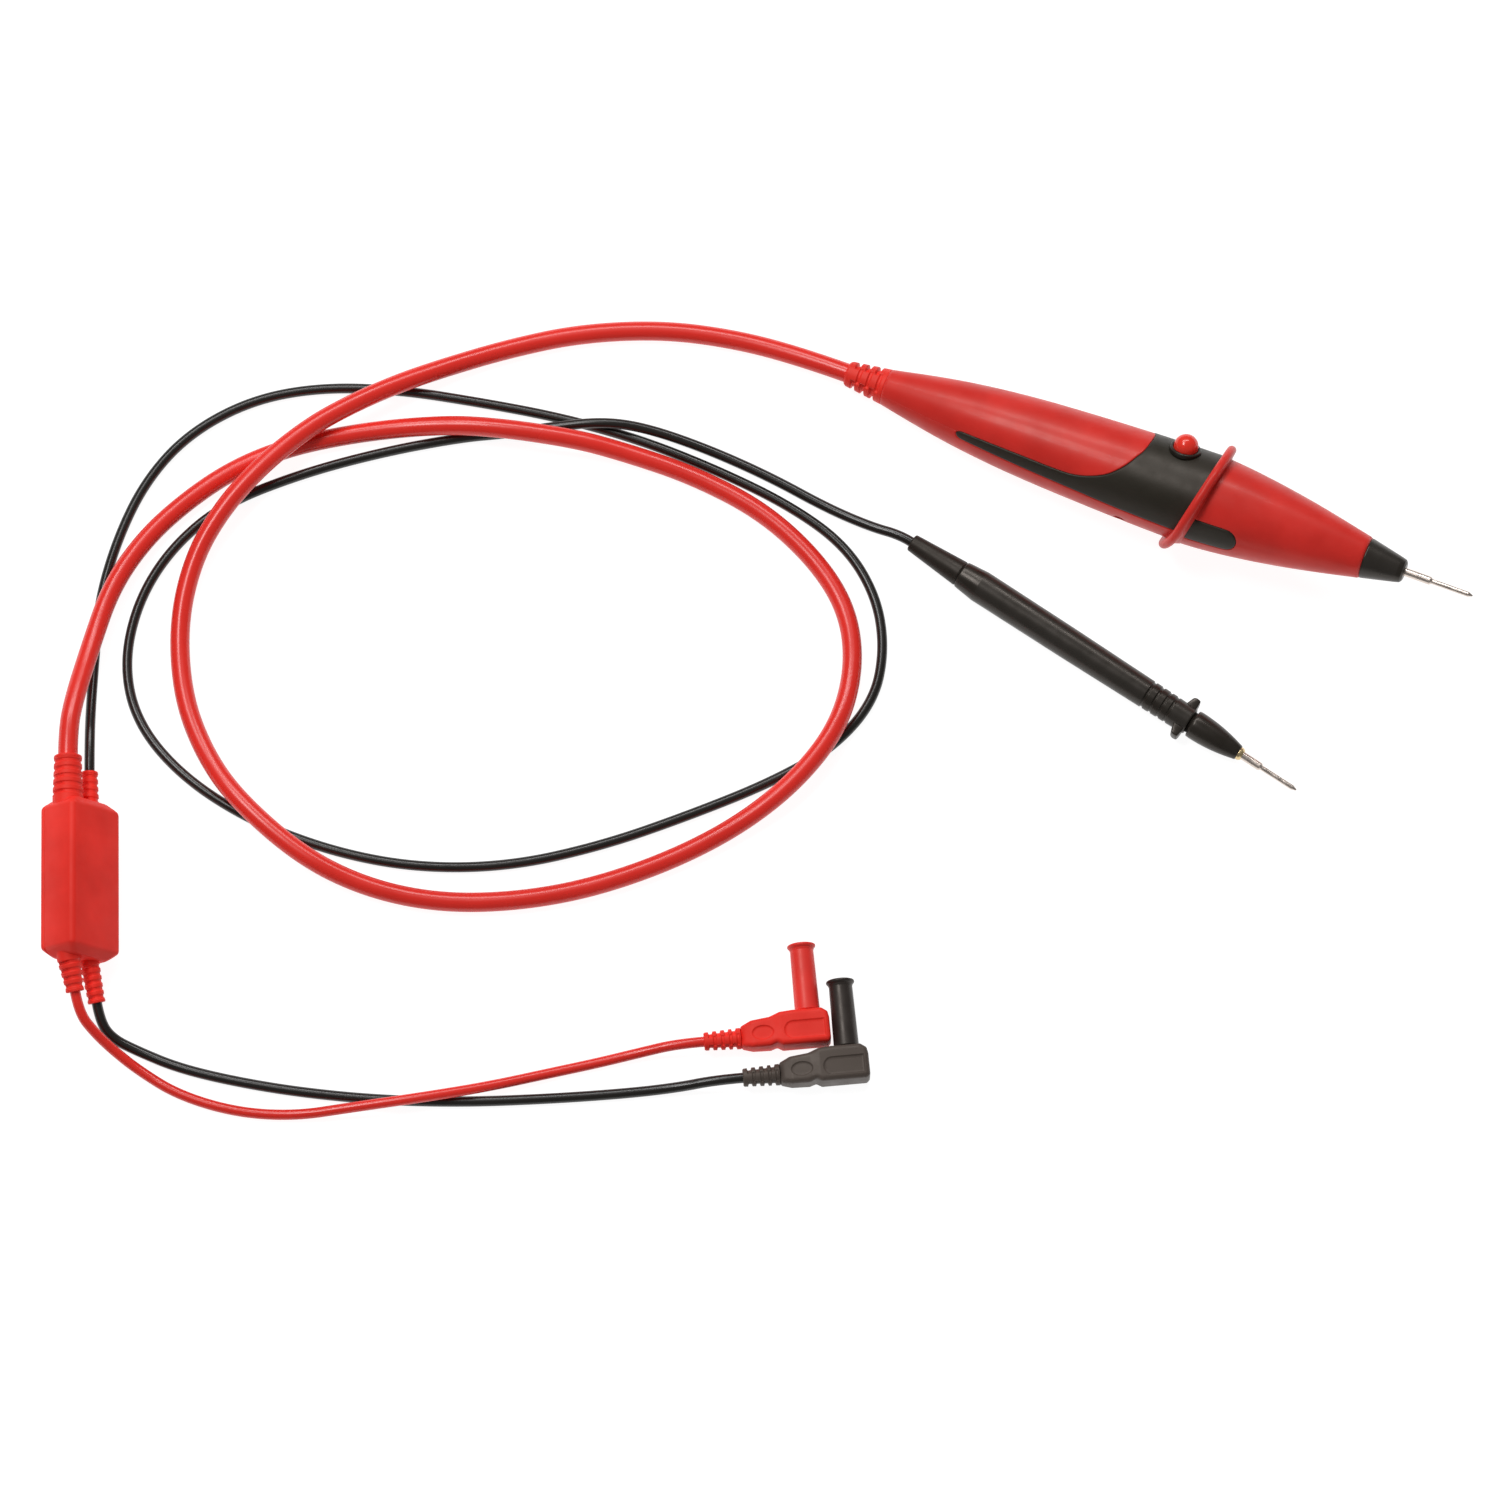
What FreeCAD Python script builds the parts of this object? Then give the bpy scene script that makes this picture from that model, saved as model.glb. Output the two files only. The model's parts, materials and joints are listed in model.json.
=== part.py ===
import FreeCAD, Part
import math
import os

# Dynamic test-lead pair: a red loading probe with a push button, a slim black probe, an inline junction
# box and two right-angle banana plugs, joined by four cords and lying on a flat surface.
# Millimetres, +Z up. The origin is on the surface, under the middle of the rigid pieces.

V = FreeCAD.Vector
X_AXIS = V(1, 0, 0)
Y_AXIS = V(0, 1, 0)
Z_AXIS = V(0, 0, 1)
BIG = 100.0

# Where each rigid assembly lies: position, heading about Z, pitch (tip up) and roll, in degrees
RED_PROBE_AT = V(30.9, 121.0, 6.54)
RED_PROBE_TURN = (-23.2, 6.34, -38.0)
BLACK_PROBE_AT = V(51.9, 61.3, 5.46)
BLACK_PROBE_TURN = (-34.45, 0.0, 0.0)
JUNCTION_AT = V(-219.8, -57.9, 13.17)
JUNCTION_HEADING = 2.0
JUNCTION_ROLL = 53.0
RED_PLUG_AT = V(-16.9, -109.7, 5.41)
BLACK_PLUG_AT = V(-4.3, -121.7, 5.41)
PLUG_HEADING = 5.2

# Red probe, stations along its axis from the cable end
BOOT_LENGTH = 14.4
BOOT_RADII = (4.3, 6.2)
BOOT_GROOVES = (2.6, 6.2, 9.8)
BOOT_SPIGOT_END = 20.0
CLAMP = (16.5, 20.0, 6.0)
END_WALL = 2.0
HANDLE_STATIONS = [(14.4, 6.2), (39.3, 10.7), (52.0, 12.3), (65.0, 13.5), (80.0, 14.4), (104.0, 15.4),
                   (134.0, 16.0)]
HANDLE_WALL = 2.0
GUARD_STATION = 127.0
GUARD_TILT = 15.5
GUARD_RADIUS = 20.6
GUARD_THICKNESS = 3.1
NOSE_STATIONS = [(112.0, 16.2), (129.3, 15.9), (145.0, 14.4), (161.9, 11.8), (185.4, 7.0)]
NOSE_END = 185.4
NOSE_WALL = 2.9
NOSE_CAVITY_END = 166.0
HOLDER_RADIUS = 3.6
HOLDER_START = 164.0
TIP_COLLAR_END = 199.0
SHANK_END = 208.5
SHANK_RADIUS = 1.4
RED_NEEDLE_RADIUS = 0.88
RED_NEEDLE_END = 222.6
NEEDLE_POINT_LENGTH = 1.6
NEEDLE_POINT_RADIUS = 0.12
NEEDLE_STEP = 0.7
GRIP_DEPTH = 1.1
GRIP_PROUD = 0.12
RECESS_PROUD = 0.5
GRIP_LOBE = [(107.4, 24.0), (106.8, 15.9), (104.4, 12.4), (101.0, 8.6), (96.0, 4.8), (88.0, 1.7),
             (80.0, 0.9), (66.0, 0.9), (46.0, 0.5)]
GRIP_REAR = (43.6, -1.0)
GRIP_FOOT = [(46.0, -2.5), (66.0, -3.5), (90.0, -4.7), (104.0, -5.5), (140.0, -6.2)]
PAD_REAR = 118.0
PAD_FRONT = 140.6
PAD_TIP = 144.8
PAD_TOP = (1.9, 1.2)
PAD_LOW = -7.4
SPIGOT = (123.6, 132.0, 13.7)
BUTTON_STATION = 118.1
BUTTON_RADIUS = 4.1
BUTTON_SHOULDER = 17.4
BUTTON_TOP = 21.4
BUTTON_BASE = 13.4
BUTTON_TRAVEL = 1.6
BEZEL_RADIUS = 4.95
BEZEL_TOP = 16.9
BEZEL_BASE = 12.6
RUNNING_GAP = 0.08
BOARD_LOW = (98.0, -6.5, 0.0)
BOARD_TOP = 1.6
BOARD_HIGH = (150.0, 6.5, BOARD_TOP)
SWITCH_HALF = 3.6
SWITCH_TOP = 6.6
ACTUATOR_HEIGHT = 0.3
ACTUATOR_RADIUS = 1.2
PLUNGER_RADIUS = 1.6
PLUNGER_GAP = 0.2
SPRING_CLEARANCE = 0.05
SPRING_RADIUS = 2.5
SPRING_WIRE_RADIUS = 0.3
SPRING_TURNS = 4.5
SCREW_SPOTS = [(34.0, 0.0, -6.6), (104.0, 9.4, -8.6), (104.0, -9.4, -8.6)]
SCREW_RADIUS = 1.2
SCREW_END = 6.6
SCREW_HOLE_END = 7.0
SCREW_SLOT = (0.3, 2.0, 0.6)
SCREW_HEAD_RADIUS = 2.2
SCREW_HEAD_HEIGHT = 1.4
SCREW_BOSS_RADIUS = 2.6
REAR_BOSS_REACH = 8.4
SIDE_BOSS_REACH = 10.6
RESISTOR = (54.0, 86.0, 5.2)
RESISTOR_LEADS = (47.0, 91.5, 0.6)
RESISTOR_HEIGHT = -1.0
WIRE_RADIUS = 0.7
SUPPLY_WIRE_ROUTE = [(20.2, 0, 1), (28, 3.4, 1), (36, 5.0, 0), (42, 2.6, -1), (46.6, 0.4, -1)]
SENSE_WIRE_ROUTE = [(20.2, 0, -1.6), (28, -3.6, -1.6), (38, -5.2, -0.6), (50, -7.2, 0.6), (70, -8.2, 1.6),
                    (86, -7.0, 1.6), (97.9, -4.5, 0.8)]

# Black probe
BLACK_BOOT_LENGTH = 19.8
BLACK_HANDLE_END = 110.6
BLACK_NOSE_END = 129.5
BLACK_SHANK_END = 138.6
BLACK_NEEDLE_END = 152.1
BLACK_NEEDLE_RADIUS = 0.85
WING_SPAN = 7.5
BLACK_GROOVES = (93.6, 96.8, 99.9, 102.7)
BLACK_GROOVE_WIDTH = 0.9
BLACK_GROOVE_RADIUS = 4.5
WING_THICKNESS = 5.0
BLACK_BORE_RADIUS = 2.9
BLACK_BORE_END = 100.0
BLACK_NECK_RADIUS = 3.7
BLACK_NOSE_RADII = (4.8, 4.35, 2.5)
BLACK_CRIMP = (92.0, 100.0, 1.9)
BLACK_WIRE_RADIUS = 0.8
BLACK_WIRE_START = 26.0
BLACK_NEEDLE_START = 94.0

# Junction box
BOX_WIDTH = 23.0
BOX_THICKNESS = 15.0
BOX_SIDE_LENGTH = 47.6
BOX_FULL_LENGTH = 53.0
BOX_HIP = 3.4
BOX_EDGE = 2.0
BOX_WALL = 1.8
LID_THICKNESS = 2.4
SLEEVE_OFFSET = 5.75
RED_OFFSETS = (-5.75, -5.2)
BLACK_OFFSET = 4.4
DROOP = 15.0
RELIEF_ROOT = 3.0
JACKET_DEPTH = 1.0
SPLICE_BOARD_LOW = (-8.5, -19.0, 0.0)
SPLICE_BOARD_HIGH = (8.5, 19.0, 1.6)
SLEEVE_HALF_LENGTH = 14.0
SLEEVE_HEIGHT = 3.2
SLEEVE_RADIUS = 1.4

# Plugs
PLUG_BOOT_LENGTH = 12.0
PLUG_HALF_HEIGHT = 5.4
PLUG_PLAN = [(12.0, -3.3), (12.0, 3.4), (15.5, 4.9), (21.5, 5.5), (25.0, 6.7), (29.0, 7.0), (38.6, 7.0),
             (40.6, 5.6), (41.0, 3.6), (41.0, -3.4), (40.0, -4.4), (25.4, -4.4), (23.6, -3.4), (21.4, -4.2),
             (15.5, -4.1)]
PIN_STATION = 34.3
PIN_FACE = 7.0
PIN_LENGTH = 19.0
PIN_RADIUS = 2.0
PIN_BOSS_RADIUS = 2.8
PIN_BOSS_LENGTH = 4.0
PIN_BOSS_FOOT = 1.0
PIN_CORE_RADIUS = 1.45
PIN_BORE_RADIUS = 1.5
PIN_COLLAR_LENGTH = 0.8
PIN_HEAD_LENGTH = 1.9
PIN_HEAD_RADII = (1.95, 1.1)
SPRING_END_BAND = 1.2
SPRING_MIDDLE_BAND = 0.4
SPRING_SLOT = 0.25
PLUG_BOOT_GROOVES = (1.6, 4.2, 6.8, 9.2)
CAP_LENGTH = 22.4
CAP_RADII = (4.1, 3.8)
CAP_GAP = 0.15
CAP_FLOOR = 1.6

# Cords
CABLE_RADIUS = 3.25
LEAD_RADIUS = 1.7
ARC_SHARE = 0.45

# Cord routes, each from the first end named to the second. The first and last points are the faces that
# the cord leaves and enters.
RED_CABLE_ROUTE = [
    (30.9, 121, 6.54), (15.4, 127.64, 4.67), (-7, 134.5, 3.4), (-32, 138, 3.3), (-60, 136.5, 3.3),
    (-84, 130.9, 3.3), (-104.4, 123.9, 4.6), (-119.9, 116.8, 8.2), (-134.7, 109.4, 9.2),
    (-148.8, 100.8, 10.2), (-164.8, 87.1, 10.2), (-177.8, 72.2, 8.4), (-187.2, 55.4, 5.6),
    (-191.7, 33.4, 3.3), (-189.4, 8, 3.3), (-181.3, -12.4, 4.4), (-169.7, -29.1, 7.8),
    (-148.1, -48.2, 7.6), (-126.8, -57.8, 4), (-103.2, -62.6, 3.3), (-78, -62, 3.3),
    (-53.4, -57.4, 3.3), (-27.5, -48, 3.3), (-5.2, -36.2, 4.2), (13.4, -22, 7.8), (27.2, -3.6, 7.8),
    (32.6, 17.9, 4.4), (30.5, 38, 3.3), (20.2, 55.7, 3.3), (2.2, 73.2, 3.3), (-21, 85.8, 3.3),
    (-43, 93.3, 4.4), (-61.8, 97.4, 8.2), (-92.9, 101.9, 8.2), (-113.1, 102.9, 4.4),
    (-135.2, 100.6, 3.3), (-156.5, 95.9, 3.3), (-174.8, 88, 3.3), (-190.4, 76.6, 3.3),
    (-203.7, 62.8, 4.6), (-214, 45, 6.8), (-219.8, 23, 9.6), (-223.6, 4, 15.4), (-225, -7.5, 17.76),
    (-224.7, -16.9, 17.76),
]
BLACK_LEAD_ROUTE = [
    (-218.48, -19.93, 9.66), (-218.83, -9.94, 9.66), (-219.4, 4, 5.2), (-219.2, 22, 1.75),
    (-218.4, 42, 1.75), (-213, 64, 1.75), (-204.3, 84.3, 1.75), (-190.7, 100.9, 1.75),
    (-170.4, 112.9, 1.75), (-147.5, 117.7, 1.75), (-121, 117, 1.75), (-93.5, 112.5, 1.75),
    (-66, 107, 1.75), (-40, 99.4, 1.75), (-14.2, 88.7, 1.75), (11.2, 75.7, 1.75), (29.8, 61.5, 1.75),
    (40, 43.7, 1.75), (42.6, 25, 1.75), (38.9, 6.8, 1.75), (25.3, -9.1, 1.75), (5, -21, 1.75),
    (-22, -32.3, 1.75), (-50, -42.5, 1.75), (-80, -49.6, 1.75), (-110, -50.3, 1.75), (-138, -45, 1.75),
    (-165, -34.6, 1.75), (-188.2, -19.7, 1.75), (-204, -1.3, 1.75), (-209.4, 19, 1.75),
    (-205.8, 41, 1.75), (-195.4, 60.1, 1.75), (-178.4, 75.9, 1.75), (-153.1, 86.6, 1.75),
    (-126.1, 94.4, 1.75), (-99.1, 99.8, 1.75), (-83, 101.2, 1.9), (-67.5, 102.8, 4.2),
    (-51, 103.7, 6.6), (-36.5, 102.5, 3.6), (-16.3, 95.7, 1.75), (4.8, 85.7, 1.75), (23.9, 74.6, 1.85),
    (38.5, 67.3, 3.8), (48.2, 63.84, 5.46), (51.9, 61.3, 5.46),
]
RED_PLUG_LEAD_ROUTE = [
    (-219.84, -95.44, 14.97), (-218.52, -102.16, 13.52), (-213.7, -107.7, 9.3), (-207.8, -112.6, 4.6),
    (-199.8, -118.5, 1.9), (-186.8, -126.6, 1.75), (-168, -132.3, 1.75), (-149, -133.5, 1.9),
    (-131, -131.4, 4.6), (-105, -128, 6.6), (-86, -124, 3.6), (-66, -119.1, 1.75), (-51, -115.8, 1.75),
    (-38, -112.7, 2.4), (-26, -110.5, 5.41), (-16.9, -109.7, 5.41),
]
BLACK_PLUG_LEAD_ROUTE = [
    (-213.69, -97.15, 6.89), (-212.45, -103.4, 5.6), (-208.5, -108.2, 3.1), (-200.6, -111.9, 1.75),
    (-187.6, -117.4, 1.75), (-170, -121.8, 1.75), (-148, -125.6, 1.75), (-122, -128.2, 1.75),
    (-95, -128.9, 1.75), (-67, -127.8, 1.75), (-42, -126, 1.75), (-25.5, -124.2, 2.4),
    (-13.4, -122.5, 5.41), (-4.3, -121.7, 5.41),
]


def turned(outline):
    """A solid of revolution about X from straight (station, radius) points."""
    points = [V(x, 0, r) for x, r in outline]
    points = [V(points[0].x, 0, 0)] + points + [V(points[-1].x, 0, 0)]
    face = Part.Face(Part.makePolygon(points + [points[0]]))
    return face.revolve(V(0, 0, 0), X_AXIS, 360)


def turned_smooth(stations, inset=0.0):
    """A solid of revolution about X whose outline is one smooth curve through the stations."""
    curve = Part.BSplineCurve()
    curve.interpolate([V(x, 0, r - inset) for x, r in stations])
    first = V(stations[0][0], 0, stations[0][1] - inset)
    last = V(stations[-1][0], 0, stations[-1][1] - inset)
    foot = V(first.x, 0, 0)
    toe = V(last.x, 0, 0)
    edges = [Part.makeLine(foot, first), curve.toShape(), Part.makeLine(last, toe), Part.makeLine(toe, foot)]
    return Part.Face(Part.Wire(edges)).revolve(V(0, 0, 0), X_AXIS, 360)


def rod(start, end, radius):
    """A round rod between two points."""
    return Part.makeCylinder(radius, (end - start).Length, start, end - start)


def tube(start, end, outer, inner):
    """A round tube between two points."""
    return rod(start, end, outer).cut(rod(start, end, inner))


def block(low, high):
    """A box from its lowest corner to its highest."""
    return Part.makeBox(high[0] - low[0], high[1] - low[1], high[2] - low[2], V(*low))


def one_solid(shape):
    """The single solid of a boolean result, cleaned of leftover seams."""
    shape = shape.removeSplitter()
    return max(shape.Solids, key=lambda solid: solid.Volume)


def placed(shape, placement):
    """A copy of a shape at a placement."""
    moved = shape.copy()
    moved.Placement = placement.multiply(moved.Placement)
    return moved


def probe_placement(at, turn):
    """Heading about Z, then pitch about Y (tip up), then roll about the probe's own axis."""
    heading = FreeCAD.Rotation(Z_AXIS, turn[0])
    pitch = FreeCAD.Rotation(Y_AXIS, -turn[1])
    roll = FreeCAD.Rotation(X_AXIS, turn[2])
    return FreeCAD.Placement(at, heading.multiply(pitch).multiply(roll))


def ahead_of_guard(offset):
    """Everything in front of the guard's slanted middle plane, moved along the axis by offset."""
    region = Part.makeBox(2 * BIG, BIG, BIG, V(0, -BIG / 2, -BIG / 2))
    region.rotate(V(0, 0, 0), Y_AXIS, GUARD_TILT)
    region.translate(V(GUARD_STATION + offset / math.cos(math.radians(GUARD_TILT)), 0, 0))
    return region


def grip_prism():
    """Side outline of the soft grip, carried right across the handle."""
    lobe = Part.BSplineCurve()
    lobe.interpolate([V(x, 0, z) for x, z in GRIP_LOBE])
    foot = [V(x, 0, z) for x, z in GRIP_FOOT]
    top = V(GRIP_LOBE[0][0], 0, GRIP_LOBE[0][1])
    rear = Part.Arc(V(GRIP_LOBE[-1][0], 0, GRIP_LOBE[-1][1]), V(GRIP_REAR[0], 0, GRIP_REAR[1]), foot[0])
    corners = foot + [V(foot[-1].x, 0, top.z), top]
    lines = [Part.makeLine(a, b) for a, b in zip(corners, corners[1:])]
    face = Part.Face(Part.Wire([lobe.toShape(), rear.toShape()] + lines))
    prism = face.extrude(V(0, BIG, 0))
    prism.translate(V(0, -BIG / 2, 0))
    return prism


def screw_bosses(side):
    """The posts that the shell screws pass through, on the top (1) or bottom (-1) shell."""
    posts = []
    for x, y, seat in SCREW_SPOTS:
        reach = REAR_BOSS_REACH if y == 0 else SIDE_BOSS_REACH
        posts.append(rod(V(x, y, 0), V(x, y, side * reach), SCREW_BOSS_RADIUS))
    return posts


def handle_skin():
    """The hollow handle, round in section, behind the guard."""
    skin = turned_smooth(HANDLE_STATIONS).cut(turned_smooth(HANDLE_STATIONS, HANDLE_WALL))
    wall = block((BOOT_LENGTH, -BIG / 2, -BIG / 2), (BOOT_LENGTH + END_WALL, BIG / 2, BIG / 2))
    skin = skin.fuse(wall.common(turned_smooth(HANDLE_STATIONS)))
    skin = skin.cut(rod(V(BOOT_LENGTH - 1, 0, 0), V(BOOT_SPIGOT_END, 0, 0), BOOT_RADII[0]))
    return skin.cut(ahead_of_guard(-GUARD_THICKNESS / 2))


def grip_band(proud):
    """The outer layer of the handle that the soft grip is moulded into."""
    outer = turned_smooth(HANDLE_STATIONS, -proud)
    return outer.cut(turned_smooth(HANDLE_STATIONS, GRIP_DEPTH)).cut(ahead_of_guard(-GUARD_THICKNESS / 2))


def handle_shells():
    """Top and bottom handle shells, screwed together on the plane across the button."""
    skin = handle_skin()
    recess = grip_band(RECESS_PROUD).common(grip_prism())
    button_hole = rod(V(BUTTON_STATION, 0, 0), V(BUTTON_STATION, 0, BIG), BEZEL_RADIUS)
    inside = turned_smooth(HANDLE_STATIONS, HANDLE_WALL / 2)
    halves = []
    for side in (1, -1):
        low = 0.0 if side == 1 else -BIG
        half_space = block((0, -BIG, low), (2 * BIG, BIG, low + BIG))
        half = skin.common(half_space)
        for post in screw_bosses(side):
            half = half.fuse(post.common(inside))
        half = half.cut(recess)
        for x, y, seat in SCREW_SPOTS:
            half = half.cut(rod(V(x, y, seat), V(x, y, SCREW_HOLE_END), SCREW_RADIUS))
            half = half.cut(rod(V(x, y, -BIG), V(x, y, seat), SCREW_HEAD_RADIUS))
        if side == 1:
            half = half.cut(button_hole)
        halves.append(one_solid(half))
    return halves


def soft_grip():
    """The black soft grip: a saddle under the button with a tapering stripe down each side."""
    grip = grip_band(GRIP_PROUD).common(grip_prism())
    return one_solid(grip.cut(rod(V(BUTTON_STATION, 0, 0), V(BUTTON_STATION, 0, BIG), BEZEL_RADIUS)))


def guard_ring():
    """The slanted round finger guard."""
    ring = Part.makeCylinder(GUARD_RADIUS, GUARD_THICKNESS, V(-GUARD_THICKNESS / 2, 0, 0), X_AXIS)
    rims = [edge for edge in ring.Edges if edge.Closed and isinstance(edge.Curve, Part.Circle)]
    ring = ring.makeFillet(GUARD_THICKNESS * 0.47, rims)
    ring.rotate(V(0, 0, 0), Y_AXIS, GUARD_TILT)
    ring.translate(V(GUARD_STATION, 0, 0))
    return ring


def side_pad_prism():
    """Side outline of the small pads in front of the guard, carried right across the nose."""
    rear_top, front_top = PAD_TOP
    tip = V(PAD_TIP, 0, (front_top + PAD_LOW) / 2)
    front = Part.Arc(V(PAD_FRONT, 0, front_top), tip, V(PAD_FRONT, 0, PAD_LOW))
    corners = [V(PAD_FRONT, 0, PAD_LOW), V(PAD_REAR, 0, PAD_LOW), V(PAD_REAR, 0, rear_top),
               V(PAD_FRONT, 0, front_top)]
    lines = [Part.makeLine(a, b) for a, b in zip(corners, corners[1:])]
    prism = Part.Face(Part.Wire([front.toShape()] + lines)).extrude(V(0, BIG, 0))
    prism.translate(V(0, -BIG / 2, 0))
    return prism


def pad_band(proud):
    """The outer layer of the nose that the side pads sit in."""
    outer = turned_smooth(NOSE_STATIONS, -proud)
    band = outer.cut(turned_smooth(NOSE_STATIONS, GRIP_DEPTH))
    return band.common(ahead_of_guard(GUARD_THICKNESS / 2))


def nose_shell():
    """The hollow nose with the slanted finger guard and the spigot that plugs into the handle."""
    cone = turned_smooth(NOSE_STATIONS).common(ahead_of_guard(-GUARD_THICKNESS / 2))
    spigot_start, spigot_end, spigot_radius = SPIGOT
    spigot = rod(V(spigot_start, 0, 0), V(spigot_end, 0, 0), spigot_radius)
    nose = cone.fuse(guard_ring()).fuse(spigot)
    cavity = turned_smooth(NOSE_STATIONS, NOSE_WALL)
    cavity = cavity.cut(block((NOSE_CAVITY_END, -BIG, -BIG), (2 * BIG, BIG, BIG)))
    nose = nose.cut(cavity).cut(rod(V(BIG, 0, 0), V(2 * BIG, 0, 0), HOLDER_RADIUS))
    return one_solid(nose.cut(pad_band(RECESS_PROUD).common(side_pad_prism())))


def side_pads():
    """The pair of soft pads in front of the guard."""
    pads = pad_band(GRIP_PROUD).common(side_pad_prism())
    return Part.makeCompound(pads.removeSplitter().Solids)


def rear_boot():
    """The ribbed collar where the thick cable enters the handle."""
    low, high = BOOT_RADII
    slope = (high - low) / BOOT_LENGTH
    body = turned([(0.0, low - 0.5), (0.5, low), (BOOT_LENGTH, high), (BOOT_LENGTH, low),
                   (BOOT_SPIGOT_END, low)])
    for start in BOOT_GROOVES:
        radius = low + slope * (start + 0.8)
        body = body.cut(tube(V(start, 0, 0), V(start + 1.5, 0, 0), radius + 1.0, radius - 0.8))
    return one_solid(body)


def tip_collar():
    """The black insulating collar at the end of the nose."""
    start = NOSE_END
    end = TIP_COLLAR_END
    body = turned([(start, 6.9), (start + 5.0, 5.8), (end - 2.0, 4.3), (end - 0.6, 3.9), (end, 3.0)])
    return one_solid(body.cut(rod(V(start - 1, 0, 0), V(end + 1, 0, 0), SHANK_RADIUS)))


def needle(start, shank_end, end, radius):
    """A contact needle with a thicker shank and a sharp point."""
    step = shank_end - NEEDLE_STEP
    point = end - NEEDLE_POINT_LENGTH
    return turned([(start, SHANK_RADIUS), (step, SHANK_RADIUS), (shank_end, radius), (point, radius),
                   (end, NEEDLE_POINT_RADIUS)])


def push_button():
    """The domed cap of the push button."""
    foot = rod(V(0, 0, BUTTON_BASE), V(0, 0, BUTTON_SHOULDER), BUTTON_RADIUS)
    rise = BUTTON_TOP - BUTTON_SHOULDER
    sphere_radius = (BUTTON_RADIUS ** 2 + rise ** 2) / (2 * rise)
    dome = Part.makeSphere(sphere_radius, V(0, 0, BUTTON_TOP - sphere_radius))
    above = block((-BIG, -BIG, BUTTON_SHOULDER), (BIG, BIG, BIG))
    button = one_solid(foot.fuse(dome.common(above)))
    button.translate(V(BUTTON_STATION, 0, 0))
    return button


def button_spring():
    """The return spring between the switch and the button cap."""
    clearance = SPRING_WIRE_RADIUS + SPRING_CLEARANCE
    bottom = SWITCH_TOP + clearance
    height = BUTTON_BASE - bottom - clearance
    steps_per_turn = 12
    steps = int(SPRING_TURNS * steps_per_turn)
    points = []
    for step in range(steps + 1):
        turn = 2 * math.pi * step / steps_per_turn
        points.append(V(BUTTON_STATION + SPRING_RADIUS * math.cos(turn), SPRING_RADIUS * math.sin(turn),
                        bottom + height * step / steps))
    return route_tube(points, SPRING_WIRE_RADIUS)


def screws():
    """The three shell screws, as a group."""
    solids = []
    for x, y, seat in SCREW_SPOTS:
        shaft = rod(V(x, y, seat), V(x, y, SCREW_END), SCREW_RADIUS)
        head = rod(V(x, y, seat - SCREW_HEAD_HEIGHT), V(x, y, seat), SCREW_HEAD_RADIUS)
        half_width, half_length, depth = SCREW_SLOT
        floor = seat - SCREW_HEAD_HEIGHT + depth
        slot = block((x - half_width, y - half_length, seat - 2 * SCREW_HEAD_HEIGHT),
                     (x + half_width, y + half_length, floor))
        solids.append(one_solid(shaft.fuse(head).cut(slot)))
    return Part.makeCompound(solids)


def load_resistor():
    """The power resistor that loads the tested circuit, with its two end leads."""
    body, leads = (rod(V(start, 0, RESISTOR_HEIGHT), V(end, 0, RESISTOR_HEIGHT), radius)
                   for start, end, radius in (RESISTOR, RESISTOR_LEADS))
    return one_solid(body.fuse(leads))


def push_switch():
    """The switch that the button works."""
    body = block((BUTTON_STATION - SWITCH_HALF, -SWITCH_HALF, BOARD_TOP),
                 (BUTTON_STATION + SWITCH_HALF, SWITCH_HALF, SWITCH_TOP))
    actuator = rod(V(BUTTON_STATION, 0, SWITCH_TOP), V(BUTTON_STATION, 0, SWITCH_TOP + ACTUATOR_HEIGHT),
                   ACTUATOR_RADIUS)
    return one_solid(body.fuse(actuator))


def red_probe():
    """Every piece of the loading probe, along its own axis."""
    top_shell, bottom_shell = handle_shells()
    at_button = V(BUTTON_STATION, 0, 0)
    plunger_foot = SWITCH_TOP + ACTUATOR_HEIGHT + BUTTON_TRAVEL + PLUNGER_GAP
    plunger = rod(at_button + V(0, 0, plunger_foot), at_button + V(0, 0, BUTTON_BASE), PLUNGER_RADIUS)
    bezel = tube(at_button + V(0, 0, BEZEL_BASE), at_button + V(0, 0, BEZEL_TOP),
                 BEZEL_RADIUS, BUTTON_RADIUS + RUNNING_GAP)
    wires = [route_tube([V(*point) for point in route], WIRE_RADIUS)
             for route in (SUPPLY_WIRE_ROUTE, SENSE_WIRE_ROUTE)]
    clamp_start, clamp_end, clamp_radius = CLAMP
    clamp = tube(V(clamp_start, 0, 0), V(clamp_end, 0, 0), clamp_radius, BOOT_RADII[0])
    holder = tube(V(HOLDER_START, 0, 0), V(NOSE_END, 0, 0), HOLDER_RADIUS, SHANK_RADIUS)
    return {
        "probe_rear_boot": rear_boot(),
        "cable_clamp": clamp.common(turned_smooth(HANDLE_STATIONS, HANDLE_WALL)),
        "handle_top_shell": top_shell,
        "handle_bottom_shell": bottom_shell,
        "shell_screws": screws(),
        "soft_grip": soft_grip(),
        "button_bezel": one_solid(bezel),
        "push_button": push_button(),
        "button_plunger": plunger,
        "button_spring": button_spring(),
        "push_switch": push_switch(),
        "circuit_board": block(BOARD_LOW, BOARD_HIGH),
        "load_resistor": load_resistor(),
        "probe_wiring": Part.makeCompound(wires),
        "nose_shell": nose_shell(),
        "nose_side_pads": side_pads(),
        "needle_holder": holder,
        "tip_collar": tip_collar(),
        "red_contact_needle": needle(HOLDER_START, SHANK_END, RED_NEEDLE_END, RED_NEEDLE_RADIUS),
    }


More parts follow.
